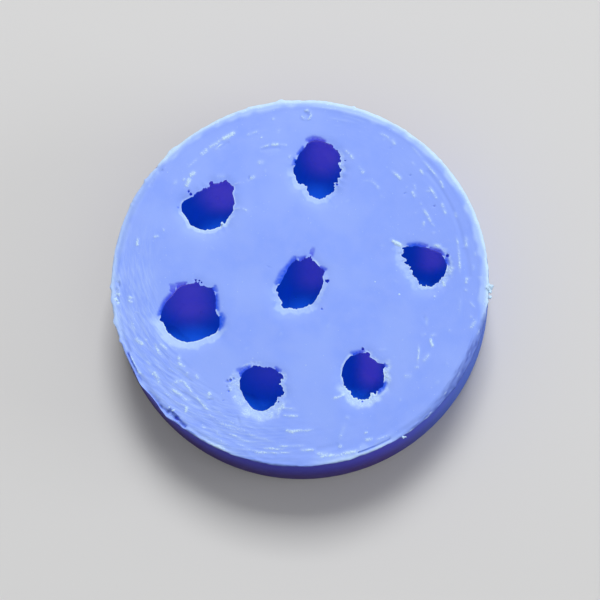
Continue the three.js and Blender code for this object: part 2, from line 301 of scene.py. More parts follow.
# Ridges and scuffs on the face: start and end angle, start and end radius, strength, and
# half the width
scuffs = [
    (20.5, 22.5, 28.9, 28.5, 0.5, 0.2), (22.5, 29.5, 28.5, 28.4, 0.8, 0.24),
    (17.6, 19.0, 28.2, 28.3, 0.7, 0.26), (30.8, 32.2, 28.4, 28.6, 0.5, 0.2),
    (34.8, 38.2, 28.4, 28.7, 0.7, 0.32), (37.2, 39.6, 29.2, 30.0, 0.6, 0.18),
    (44.0, 50.0, 28.7, 28.8, 0.9, 0.24), (40.0, 40.8, 28.4, 28.4, 0.5, 0.18),
    (22.2, 24.6, 26.7, 27.3, 0.7, 0.26), (23, 28.2, 31.9, 32.2, 0.7, 0.28),
    (29.6, 35.6, 31.8, 32.0, 0.8, 0.24), (33.6, 34.8, 31.5, 30.9, 0.6, 0.2),
    (0.5, 14.6, 31.7, 32.3, 0.8, 0.22), (9.5, 13.8, 33.6, 34.1, 0.8, 0.3),
    (20.8, 23.0, 33.6, 33.8, 0.8, 0.24), (31.8, 35.2, 34.0, 34.5, 0.8, 0.26),
    (35.2, 44.5, 34.5, 34.6, 0.9, 0.18), (44.5, 50.0, 34.8, 35.3, 0.6, 0.16),
    (40.0, 42.5, 32.6, 32.9, 0.7, 0.22), (44.5, 46.6, 32.7, 32.9, 0.4, 0.22),
    (54.6, 57.0, 33.6, 34.2, 0.9, 0.3), (57.0, 61.8, 34.0, 34.2, 0.7, 0.24),
    (58.5, 59.4, 33.3, 33.3, 0.5, 0.18), (65.8, 68.2, 26.8, 27.4, 0.8, 0.28),
    (68.2, 71.0, 27.4, 28.0, 0.5, 0.2), (58.8, 60.4, 25.0, 25.4, 0.9, 0.26),
    (60.4, 63.0, 25.4, 26.0, 0.4, 0.2), (48.0, 50.5, 24.0, 24.5, 0.7, 0.26),
    (50.5, 54.5, 24.5, 24.5, 0.6, 0.24), (54.5, 57.5, 24.4, 23.6, 0.4, 0.16),
    (67.0, 76.0, 34.9, 34.9, 0.3, 0.14), (70.0, 80.0, 34.2, 33.8, 0.35, 0.14),
    (44, 46, 23.2, 23.4, 0.4, 0.2), (28.6, 30.0, 26.6, 27.0, 0.4, 0.16), (6.5, 8.0, 35.2, 35.2, 0.5, 0.24),
    (1.5, 4.0, 34.4, 34.6, 0.4, 0.24), (95, 98.4, 27.7, 28.1, 0.7, 0.18),
    (98.4, 102, 28.1, 28.4, 1.1, 0.22), (102, 107, 28.4, 28.3, 0.7, 0.18),
    (98.6, 99.6, 33.5, 33.9, 0.8, 0.22), (97.5, 98.6, 31.4, 30.4, 0.4, 0.24),
    (105, 110, 31.9, 31.7, 0.6, 0.24), (104.5, 105.2, 30.3, 30.4, 0.7, 0.18),
    (113, 119, 33.2, 33.0, 1.0, 0.42), (119, 124.5, 33.0, 32.8, 0.9, 0.3),
    (124.5, 128.2, 32.8, 32.6, 1.1, 0.34), (119, 123, 32.2, 31.8, 0.6, 0.2),
    (129.5, 135, 32.4, 32.4, 0.4, 0.24), (133.4, 136.5, 30.6, 30.8, 0.9, 0.4),
    (136.5, 140.6, 30.5, 29.7, 0.8, 0.42), (138.2, 139.3, 31.2, 31.1, 0.8, 0.2),
    (140.6, 142.6, 32.3, 31.9, 0.5, 0.36), (125.0, 128.5, 25.8, 27.2, 0.3, 0.5),
    (106.3, 109.8, 25.1, 25.4, 0.9, 0.3), (93.8, 95.4, 25.4, 25.1, 0.8, 0.26),
    (113.0, 116.6, 22.8, 22.9, 0.9, 0.26), (106.8, 107.6, 23.2, 23.3, 0.8, 0.2),
    (96, 104, 26.0, 26.3, 0.25, 0.14), (97, 106, 26.7, 26.9, 0.25, 0.14),
    (120.5, 124.5, 23.0, 23.6, 0.4, 0.14), (159.6, 160.4, 28.9, 29.2, 0.8, 0.3),
    (162.6, 163.8, 29.3, 30.6, 0.7, 0.22), (165.2, 168.4, 33.5, 33.3, 0.7, 0.26),
    (167.4, 168.4, 33.3, 33.2, 0.8, 0.22), (184.6, 185.6, 36.5, 35.8, 1.1, 0.22),
    (182.8, 185.2, 36.1, 36.3, 0.6, 0.3), (186.2, 187.0, 34.4, 33.2, 0.6, 0.18),
    (187.0, 188.6, 34.6, 33.4, 0.6, 0.18), (191.5, 192.6, 33.4, 32.6, 0.5, 0.24),
    (194.8, 198.4, 34.5, 34.1, 0.4, 0.26), (200.2, 203.8, 34.6, 33.6, 0.8, 0.3),
    (201.8, 203.0, 33.0, 32.5, 0.6, 0.22), (204.2, 209.4, 31.2, 31.6, 0.6, 0.26),
    (205.4, 209.4, 30.6, 29.8, 0.7, 0.3), (213, 215.2, 28.3, 29.0, 0.7, 0.22),
    (215.2, 219.2, 29.4, 28.7, 0.8, 0.24), (213.2, 216.6, 28.2, 29.2, 0.5, 0.3),
    (220.2, 222.4, 32.4, 30.8, 0.7, 0.3), (222.0, 228.4, 30.8, 31.1, 0.8, 0.22),
    (228.4, 236.8, 31.1, 31.9, 0.9, 0.18), (220.4, 221.8, 29.3, 29.2, 0.6, 0.26),
    (223.4, 226.2, 28.2, 28.4, 0.6, 0.26), (213, 218.2, 34.1, 34.7, 0.7, 0.26),
    (208.8, 211.0, 34.3, 34.0, 0.8, 0.24), (221.4, 226.6, 33.5, 33.0, 0.6, 0.34),
    (226.0, 229.2, 33.4, 32.7, 0.6, 0.22), (229.5, 230.8, 33.9, 35.1, 1.6, 0.15),
    (242.2, 243.2, 34.4, 35.3, 0.9, 0.12), (204.5, 212, 36.75, 36.65, 0.9, 0.14),
    (243.0, 244.8, 34.8, 35.2, 0.7, 0.16), (237.4, 238.8, 35.0, 35.3, 0.6, 0.16),
    (246, 256, 33.9, 34.2, 0.6, 0.18), (250, 258, 35.2, 35.6, 0.5, 0.16), (256, 268, 35.7, 34.8, 0.8, 0.14),
    (258, 266, 34.7, 34.2, 0.8, 0.18), (262, 272, 33.8, 33.5, 0.7, 0.16), (252, 262, 32.9, 33.1, 0.4, 0.18),
    (232.2, 233.6, 29.0, 29.4, 0.9, 0.26), (232.8, 234.4, 30.2, 29.8, 0.6, 0.2),
    (264.8, 268.4, 30.6, 31.1, 1.0, 0.24), (266.6, 275.0, 30.7, 30.6, 0.8, 0.16),
    (263, 270, 27.7, 27.8, 0.8, 0.2), (262, 269, 26.3, 26.5, 0.8, 0.18), (270, 275, 34.3, 34.5, 1.0, 0.2),
    (275, 281, 35.2, 36.0, 0.8, 0.26), (274, 290, 36.0, 36.3, 0.8, 0.26),
    (282.5, 283.8, 34.4, 34.8, 0.9, 0.26), (291, 294.0, 34.8, 35.3, 0.6, 0.34),
    (292, 293, 33.7, 33.6, 0.8, 0.2), (294, 300, 35.6, 36.2, 0.5, 0.26),
    (283.4, 286.6, 33.4, 30.7, 0.45, 0.34), (287.4, 289.4, 29.3, 29.9, 0.5, 0.36),
    (284.6, 291, 25.3, 25.1, 0.9, 0.2), (308.0, 308.9, 31.7, 31.5, 0.6, 0.2),
    (315.2, 317.8, 28.4, 29.8, 0.4, 0.4), (320.4, 322.2, 28.9, 29.6, 0.6, 0.24),
    (322.4, 329.6, 29.1, 27.1, 0.8, 0.18), (324.2, 328.8, 29.6, 29.9, 0.5, 0.36),
    (331.2, 332.4, 29.9, 29.2, 1.1, 0.22), (332.0, 334.0, 29.2, 28.6, 1.0, 0.24),
    (334.4, 336.6, 28.2, 29.3, 0.5, 0.34), (333, 335.2, 26.6, 27.5, 0.4, 0.24),
    (338.0, 341.6, 26.9, 26.4, 0.9, 0.2), (350.6, 351.6, 27.0, 27.1, 0.8, 0.2),
    (342, 345.8, 35.0, 36.0, 0.5, 0.4), (345.6, 346.6, 34.9, 34.6, 0.5, 0.26),
    (349.2, 351.2, 35.2, 33.9, 0.5, 0.22), (354.6, 355.6, 33.0, 33.0, 0.8, 0.22),
    (357.0, 359.4, 33.0, 33.1, 0.9, 0.26), (355.6, 358.4, 28.8, 28.4, 0.9, 0.26),
    (328.0, 329.2, 33.9, 33.7, 0.3, 0.24), (339.0, 340.0, 31.6, 31.4, 0.5, 0.24),
    (320.8, 322.4, 34.2, 34.4, 0.3, 0.3), (346, 352, 32.4, 32.1, 0.3, 0.24),
    (305, 312, 24.2, 23.6, 0.3, 0.24), (316, 320, 21.5, 22.6, 0.3, 0.24),
    (133.2, 129.2, 19.6, 18.6, 0.4, 0.16), (129.2, 126.4, 18.6, 16.8, 0.5, 0.16),
    (22.5, 17.0, 19.7, 21.3, 1.3, 0.24), (20.5, 16.5, 20.0, 21.5, 1.2, 0.24),
    (297, 302, 11.6, 11.2, 0.3, 0.24), (251, 254, 12.0, 12.2, 0.3, 0.24),
    (352.5, 354, 15.0, 14.9, 0.4, 0.24), (345, 347, 21.2, 20.8, 0.5, 0.24),
    (13.6, 12.0, 27.2, 28.9, 0.8, 0.3),
]

# Sunken marks on the face: start and end angle, start and end radius, half width, and depth
dents = [
    (11, 40, 33.2, 33.6, 0.35, 0.07), (0, 9, 33.4, 33.2, 0.5, 0.07), (99, 106, 27.4, 27.7, 0.3, 0.06),
    (116.1, 116.8, 23.0, 22.9, 0.16, 0.16), (226, 233, 32.6, 32.1, 0.5, 0.12),
    (218, 224, 30.4, 30.0, 0.5, 0.08), (206, 212, 31.6, 30.8, 0.4, 0.07),
    (234.2, 235.2, 30.3, 29.8, 0.2, 0.16), (276, 282, 34.6, 34.3, 0.5, 0.08),
    (255, 262, 36.0, 35.8, 0.4, 0.07), (288, 298.5, 36.8, 36.7, 0.16, 0.3),
    (246.5, 248, 30.4, 31.3, 0.18, 0.1), (340, 341, 26.2, 26.0, 0.16, 0.14),
    (203.8, 206.5, 37.0, 37.1, 0.1, 0.4), (206.8, 210.8, 37.1, 37.15, 0.12, 0.5),
    (226.4, 229.6, 36.7, 36.75, 0.28, 0.6), (229.2, 233.2, 36.8, 37.0, 0.22, 0.6),
    (223.4, 226.6, 37.2, 37.0, 0.2, 0.5), (212, 223, 37.1, 37.2, 0.16, 0.32),
    (38.9, 39.1, 27.3, 27.3, 0.05, 0.3), (43.2, 43.4, 30.6, 30.7, 0.05, 0.3),
    (55.4, 55.8, 32.4, 32.5, 0.05, 0.3), (69.0, 69.4, 25.9, 25.9, 0.06, 0.3),
    (27.8, 28.1, 30.5, 30.6, 0.05, 0.3), (34.2, 34.5, 33.0, 33.0, 0.05, 0.3),
    (141, 142.2, 35.9, 36.2, 0.2, 0.2), (145, 147.5, 36.1, 35.9, 0.15, 0.12),
    (181.3, 182.3, 36.1, 36.0, 0.2, 0.25), (183.5, 188, 36.6, 36.4, 0.2, 0.15),
    (117, 121, 31.8, 31.6, 0.15, 0.08), (197, 204, 36.8, 36.6, 0.2, 0.15),
    (212, 222, 36.6, 36.9, 0.2, 0.14), (235, 248, 36.8, 36.9, 0.2, 0.1),
]

# The rim: how far its outer edge stands above the face (or below it) at each angle
rim_heights = [
    (0, -0.3), (20, -0.46), (60, -0.52), (100, -0.5), (135, -0.44), (160, -0.32), (178, -0.12), (186, 0.08),
    (200, 0.12), (212, 0.16), (222, 0.0), (240, 0.06), (252, 0.0), (268, -0.04), (280, 0.2), (297, 0.2),
    (304, -0.35), (318, -0.6), (340, -0.62), (350, -0.3), (360, -0.3),
]

# The turns over which the rim is pale, a painted highlight where it faces the light: start and end angle,
# and strength
lit_arcs = [(-10, 142, 1.0), (142, 198, 0.5), (240, 250, 0.5), (277, 299, 0.7), (345, 352, 0.5)]

# The worn bevel, bare of its skin: from which radius outwards at each angle
worn_bevel = [
    (0, 38.5), (297, 38.5), (304, 37.2), (312, 36.9), (320, 36.4), (328, 36.1), (335, 36.25), (342, 36.6),
    (348, 37.1), (353, 38.5), (360, 38.5),
]

# Tags of silicone that stick out from the rim: angle, half its width, and reach
rim_tags = [
    (72.8, 0.6, 0.35), (95.9, 1.3, 0.55), (106.2, 0.5, 0.2), (134, 2.2, 0.42), (146.6, 0.5, 0.3),
    (141.2, 0.5, -0.25), (155.5, 0.4, 0.15), (182.5, 0.9, 0.4), (186.5, 1.4, 0.35), (193.5, 1.6, 0.45),
    (199.6, 0.8, 0.3), (29, 0.4, 0.12), (55, 0.6, 0.14), (40, 0.5, 0.12), (214, 3.0, 0.3),
    (226.5, 3.2, 0.6), (233, 1.2, 0.25), (324, 0.8, 0.2), (338, 0.8, 0.2), (347, 1.4, 0.2),
    (285, 0.8, 0.15), (352, 0.6, 0.3),
]

# Crumbs of torn silicone that cling to the rim and the face: place, size, and flatness
crumbs = [
    (37.55, -2.2, 14.5, 0.7, 0.7), (37.6, -3.1, 14.4, 0.45, 0.8), (37.6, -4.3, 14.4, 0.34, 0.8),
    (20.1, -31.9, 14.6, 0.27, 0.8), (20.5, -31.9, 14.5, 0.16, 0.8), (-36.5, -4.3, 14.9, 0.45, 0.45),
    (-36.0, -5.0, 14.95, 0.3, 0.45), (-36.7, -3.4, 14.85, 0.25, 0.6), (-15.6, 11.3, 14.9, 0.2, 0.6),
    (15.0, -1.1, 14.93, 0.15, 0.6), (19.7, -3.7, 14.92, 0.2, 0.6), (8.25, 23.5, 14.75, 0.26, 0.5),
    (-24.6, -26.5, 14.95, 0.3, 0.4), (-25.4, -25.9, 14.95, 0.2, 0.5), (-28.8, -19.3, 14.95, 0.3, 0.3),
    (1.9, 5.2, 14.72, 0.28, 0.5), (17.1, -19.6, 14.7, 0.3, 0.45), (-31.2, -13.3, 14.96, 0.24, 0.35),
]


# Repeatable noise

def lattice(ix, iy, seed):
    """A repeatable random number from -1 to 1 for each whole-numbered place."""
    mixed = np.sin(ix * 127.1 + iy * 311.7 + seed * 74.7) * 43758.5453
    return 2 * (mixed - np.floor(mixed)) - 1


def noise(x, y, seed, wrap=None):
    """Smooth noise from -1 to 1, one bump a unit. With wrap, x repeats after so many units."""
    ix, iy = np.floor(x), np.floor(y)
    fx, fy = x - ix, y - iy
    fx, fy = fx * fx * (3 - 2 * fx), fy * fy * (3 - 2 * fy)
    jx = ix + 1
    if wrap:
        ix, jx = ix % wrap, jx % wrap
    low = lattice(ix, iy, seed) * (1 - fx) + lattice(jx, iy, seed) * fx
    high = lattice(ix, iy + 1, seed) * (1 - fx) + lattice(jx, iy + 1, seed) * fx
    return low * (1 - fy) + high * fy


def flat_noise(x, y, size, seed):
    """Noise over a flat face, with bumps of one size in mm."""
    return noise(x / (size * mm), y / (size * mm), seed)


def round_noise(turn, across, count, size, seed):
    """Noise with so many bumps in a full turn, and of one size in mm across the turn."""
    return noise(turn * count, across / (size * mm), seed, wrap=count)


def round_layers(turn, across, layers):
    return sum(strength * round_noise(turn, across, *rest) for strength, *rest in layers)


def turned_noise(x, y, count, size, seed):
    """Noise drawn out along the turns of the face, and slanted inwards where the blade ran off."""
    turn = np.arctan2(y, x) / (2 * math.pi)
    apart = turned_from(turn * 360, blade_turn)
    slant = blade_pull * apart * hump(apart, 0, blade_reach)
    return round_noise(turn, np.hypot(x, y) + slant, count, size, seed)


def turned_layers(x, y, layers):
    return sum(strength * turned_noise(x, y, *rest) for strength, *rest in layers)


# Soft shapes of a value

def smooth_step(value, start, end):
    """0 before start, 1 past end, and a soft ramp between them."""
    share = np.clip((value - start) / (end - start), 0, 1)
    return share * share * (3 - 2 * share)


def hump(value, middle, half):
    """1 at the middle, and falling away softly to either side."""
    return np.exp(-((value - middle) / half) ** 2)


def turned_from(angle, middle):
    """How many degrees an angle lies past another one, from -180 to 180."""
    return (angle - middle + 180) % 360 - 180


# Work on the objects

def only(piece):
    """Selects one object alone and makes it active."""
    bpy.ops.object.select_all(action="DESELECT")
    piece.select_set(True)
    bpy.context.view_layer.objects.active = piece


def edit(piece):
    """Opens one object in edit mode with all of it selected."""
    only(piece)
    bpy.ops.object.mode_set(mode="EDIT")
    bpy.ops.mesh.select_all(action="SELECT")


def close_edit():
    bpy.ops.object.mode_set(mode="OBJECT")


def read_triples(elements, what):
    values = np.empty(len(elements) * 3)
    elements.foreach_get(what, values)
    return values.reshape(-1, 3)


def points_of(piece):
    return read_triples(piece.data.vertices, "co")


def normals_of(piece):
    return read_triples(piece.data.vertices, "normal")


def face_centres(piece):
    return read_triples(piece.data.polygons, "center")


def move_points(piece, spots):
    piece.data.vertices.foreach_set("co", spots.astype(np.float32).ravel())
    piece.data.update()


def refine(piece, chosen):
    """Splits the chosen faces once each way."""
    edit(piece)
    bpy.ops.mesh.select_mode(type="FACE")
    bpy.ops.mesh.select_all(action="DESELECT")
    close_edit()
    piece.data.polygons.foreach_set("select", chosen)
    bpy.ops.object.mode_set(mode="EDIT")
    bpy.ops.mesh.subdivide(number_cuts=1)
    close_edit()


def apply_all(piece):
    only(piece)
    for step in list(piece.modifiers):
        bpy.ops.object.modifier_apply(modifier=step.name)


def carve(piece, tool, how):
    """Cuts one object by another, or keeps what they share."""
    step = piece.modifiers.new(how.lower(), "BOOLEAN")
    step.operation = how
    step.solver = "MANIFOLD"
    step.object = tool
    apply_all(piece)


def copy_of(piece, name):
    twin = piece.copy()
    twin.data = piece.data.copy()
    twin.name = name
    bpy.context.scene.collection.objects.link(twin)
    return twin


def join(pieces):
    only(pieces[0])
    for piece in pieces[1:]:
        piece.select_set(True)
    bpy.ops.object.join()
    return pieces[0]


def drop(pieces):
    for piece in pieces:
        bpy.data.objects.remove(piece)


# Lines drawn on the face

def sampled(corners, step):
    """Points along a line of corners, one a step."""
    corners = np.array(corners, float)
    line = [corners[:1]]
    for start, end in zip(corners[:-1], corners[1:]):
        parts = max(1, math.ceil(np.hypot(*(end - start)) / step))
        line.append(start + (end - start) * np.arange(1, parts + 1)[:, None] / parts)
    return np.concatenate(line)


def arc(start, end, start_radius, end_radius):
    """Points along a turn of the face, from degrees and mm."""
    length = math.hypot(math.radians(end - start) * start_radius, end_radius - start_radius)
    share = np.linspace(0, 1, max(3, math.ceil(length / arc_step_in_mm)))
    angle = np.radians(start + (end - start) * share)
    radius = (start_radius + (end_radius - start_radius) * share) * mm
    return np.column_stack([radius * np.cos(angle), radius * np.sin(angle)])


def distance_to(x, y, line, limit):
    """Each place's distance from a line of points, and its nearest point, out to a limit."""
    distance = np.full(len(x), limit)
    nearest = np.zeros(len(x), int)
    near = ((x > line[:, 0].min() - limit) & (x < line[:, 0].max() + limit)
            & (y > line[:, 1].min() - limit) & (y < line[:, 1].max() + limit))
    spots = np.flatnonzero(near)
    for part in np.array_split(spots, max(1, len(spots) * len(line) // 4000000)):
        gap = np.hypot(x[part, None] - line[None, :, 0], y[part, None] - line[None, :, 1])
        nearest[part] = gap.argmin(1)
        distance[part] = np.minimum(gap.min(1), limit)
    return distance, nearest


def in_arcs(angle, arcs, soft=14):
    """Adds up values that hold over turns from start to end in degrees, with soft ends."""
    total = np.zeros(len(angle))
    for start, end, value in arcs:
        apart = turned_from(angle, (start + end) / 2)
        half = (end - start) / 2
        total += value * (1 - smooth_step(np.abs(apart), half - soft / 2, half + soft / 2))
    return total


# The torn edges

def torn_outline(mouth, seed):
    """The mouth's edge: its corners joined, a little rounded, and torn in small steps."""
    corners = np.array(mouth["edge"] + mouth["edge"][:1]) * mm
    line = sampled(corners, tear_step)[:-1]
    line = (np.roll(line, 1, axis=0) + line + np.roll(line, -1, axis=0)) / 3
    ahead = np.roll(line, -1, axis=0) - np.roll(line, 1, axis=0)
    out = np.column_stack([ahead[:, 1], -ahead[:, 0]]) / np.hypot(ahead[:, 0], ahead[:, 1])[:, None]
    place = np.arange(len(line)) * tear_step
    fade = np.minimum(1, np.minimum(place, place[::-1]) / (1 * mm))
    angle = np.degrees(np.arctan2(line[:, 1], line[:, 0]))
    rough = 0.4 + in_arcs(angle, mouth["toothed"])
    tear = 0.12 * noise(place / (0.62 * mm), place * 0, seed)
    tear = tear + 0.09 * noise(place / (0.31 * mm), place * 0, seed + 1)
    return line + out * (mm * tear * rough * fade)[:, None] + mouth["centre"]


def film_line(mouth, corners, half):
    """A sunken film: its line, half its width, and each point's distance from the torn edge."""
    line = sampled(mouth["centre"] + np.array(corners) * mm, tear_step)
    to_edge, _ = distance_to(line[:, 0], line[:, 1], mouth["outline"], 9 * mm)
    return line, half * mm, to_edge


for number, (name, mouth) in enumerate(mouths.items()):
    mouth["name"] = name
    mouth["seed"] = 20 + number
    mouth["centre"] = np.array(mouth["centre"]) * mm
    mouth["outline"] = torn_outline(mouth, 40 + number * 10)
    mouth["lines"] = [film_line(mouth, *film) for film in mouth["films"]]


def rounded_reach(mouth, angles):
    """How far the torn edge reaches from the mouth's centre, rounded off over its notches."""
    spots = mouth["outline"] - mouth["centre"]
    turns = np.arctan2(spots[:, 1], spots[:, 0])
    lengths = np.hypot(spots[:, 0], spots[:, 1])
    even = np.radians(np.arange(-180, 180, 4))
    reach = []
    for angle in even:
        gap = (turns - angle + math.pi) % (2 * math.pi) - math.pi
        reach.append(lengths[np.abs(gap) < math.radians(16)].max())
    reach = sum(np.roll(reach, k) for k in range(-3, 4)) / 7
    turned = (angles + math.pi) % (2 * math.pi) - math.pi
    return np.interp(turned, np.append(even, math.pi), np.append(reach, reach[0]))


def ring_round(mouth, step, grow):
    """A flat ring of points round a mouth, one every so many degrees, grown past its edge."""
    angles = np.radians(np.arange(0, 360, step))
    reach = rounded_reach(mouth, angles) + grow
    return mouth["centre"] + np.column_stack([np.cos(angles), np.sin(angles)]) * reach[:, None]


# The marks round one mouth

def sagging(mouth, angle, gap):
    """How deep the lip sags towards the hollow: most on its side towards -Y."""
    lower = (0.5 - 0.5 * np.sin(angle + lip_turn)) ** 1.4
    uneven = 1 + 0.25 * round_noise(angle / (2 * math.pi), gap * 0, 9, 1, mouth["seed"])
    depth = lip_sag * (least_sag + (1 - least_sag) * lower) * uneven
    return depth * np.exp(-(gap / (lip_reach * (0.7 + 0.5 * lower))) ** 1.6)


def ring_marks(mouth, angle, gap, crumbs, lumps):
    """The pale rings, partly scuffed and partly painted highlight: how light they are and how crumbly."""
    light, crumbly = np.zeros((2, len(gap)))
    for start, end, width, strength, grain in mouth["rings"]:
        share = in_arcs(np.degrees(angle), [(start, end, 1.0)], ring_ends)
        fade = np.exp(-(gap / (0.82 * width * (1 + 0.3 * lumps) * mm)) ** 3.5)
        fade = smooth_step(fade + 0.22 * crumbs * fade, 0.1, 0.75)
        light = np.maximum(light, share * strength * fade)
        crumbly = np.maximum(crumbly, share * grain * fade)
    return light, crumbly


def fringe_marks(mouth, angle, gap, light):
    """The pale fringe right at the torn edge, partly whitish torn silicone and partly painted highlight,
    wider where the ring is light.
    """
    uneven = round_noise(angle / (2 * math.pi), gap, 70, 0.3, mouth["seed"] + 7)
    width = (0.09 + 0.32 * light + 0.10 * uneven) * mm
    return (1 - smooth_step(gap, width * 0.5, width)) * np.clip(0.1 + 1.1 * light, 0, 1)


def film_marks(mouth, x, y, edge_gap, crumbs, lumps):
    """The sunken films beside the edge: how deep they lie and how filmy they are, which darkens them partly
    as thin skin and partly as painted shade.
    """
    dip, thin = np.zeros((2, len(x)))
    for line, half, to_edge in mouth["lines"]:
        span, nearest = distance_to(x, y, line, 2.5 * mm)
        span = span + 0.1 * mm * (crumbs + lumps)
        between = (nearest > 0) & (nearest < len(line) - 1)
        inner = (edge_gap < to_edge[nearest]) & between & (span < 1.5 * mm)
        share = np.where(inner, 1, 1 - smooth_step(span, half * 0.25, half * 1.2 + 0.12 * mm))
        slope = 1 - np.clip(edge_gap / (to_edge[nearest] + half), 0, 1)
        dip = np.maximum(dip, share * (0.03 + 0.20 * slope) * mm)
        thin = np.maximum(thin, share * (0.45 + 0.65 * slope + 0.14 * crumbs))
    return dip, thin


def pit_marks(mouth, across, along, crumbs):
    """The small pits beside a mouth: how deep and how filmy they are; filmy darkens them partly as painted
    shade.
    """
    dip, thin = np.zeros((2, len(across)))
    for left, up, half, deep in mouth["pits"]:
        span = np.hypot(across - left * mm, along - up * mm) + 0.08 * mm * crumbs
        hole = 1 - smooth_step(span, (half - 0.1) * mm, (half + 0.08) * mm)
        dip = np.maximum(dip, hole * deep * film_drop)
        thin = np.maximum(thin, 1.2 * deep * hole)
    return dip, thin


def mouth_marks(mouth, x, y):
    """Round one mouth: the sag towards it, and how pale (partly painted highlight), how scuffed and how
    filmy the face is.
    """
    marks = np.zeros((4, len(x)))
    edge_gap, _ = distance_to(x, y, mouth["outline"], mouth_reach)
    near = np.flatnonzero(edge_gap < mouth_reach)
    x, y, edge_gap = x[near], y[near], edge_gap[near]
    across, along = x - mouth["centre"][0], y - mouth["centre"][1]
    angle = np.arctan2(along, across)
    inside = np.hypot(across, along) < rounded_reach(mouth, angle) - mouth_inside
    gap = np.where(inside, 0, edge_gap)
    crumbs = flat_noise(x, y, 0.33, 17)
    lumps = flat_noise(x, y, 0.8, 18)
    light, crumbly = ring_marks(mouth, angle, gap, crumbs, lumps)
    fringe = fringe_marks(mouth, angle, gap, light)
    film_dip, film_thin = film_marks(mouth, x, y, edge_gap, crumbs, lumps)
    pit_dip, pit_thin = pit_marks(mouth, across, along, crumbs)
    dip = np.maximum(sagging(mouth, angle, gap), film_dip)
    dip = dip - crumb_relief * light * hump(gap, 0, 0.2 * mm) * (1 - film_thin)
    dip = dip - crumb_relief * crumbly * (crumbs + 0.5 * lumps) * (gap > 0)
    thin = np.maximum(film_thin, pit_thin)
    whole = 1 - np.minimum(thin, 1)
    pale = np.maximum(fringe, 0.55 * light) * whole
    scuffed = 0.42 * crumbly * (0.9 + 0.6 * lumps) * whole
    marks[:, near] = [np.maximum(dip, pit_dip), pale, scuffed, thin]
    return marks


# The marks of the whole face

rim_angles, rim_levels = np.array(rim_heights).T
worn_angles, worn_radii = np.array(worn_bevel).T


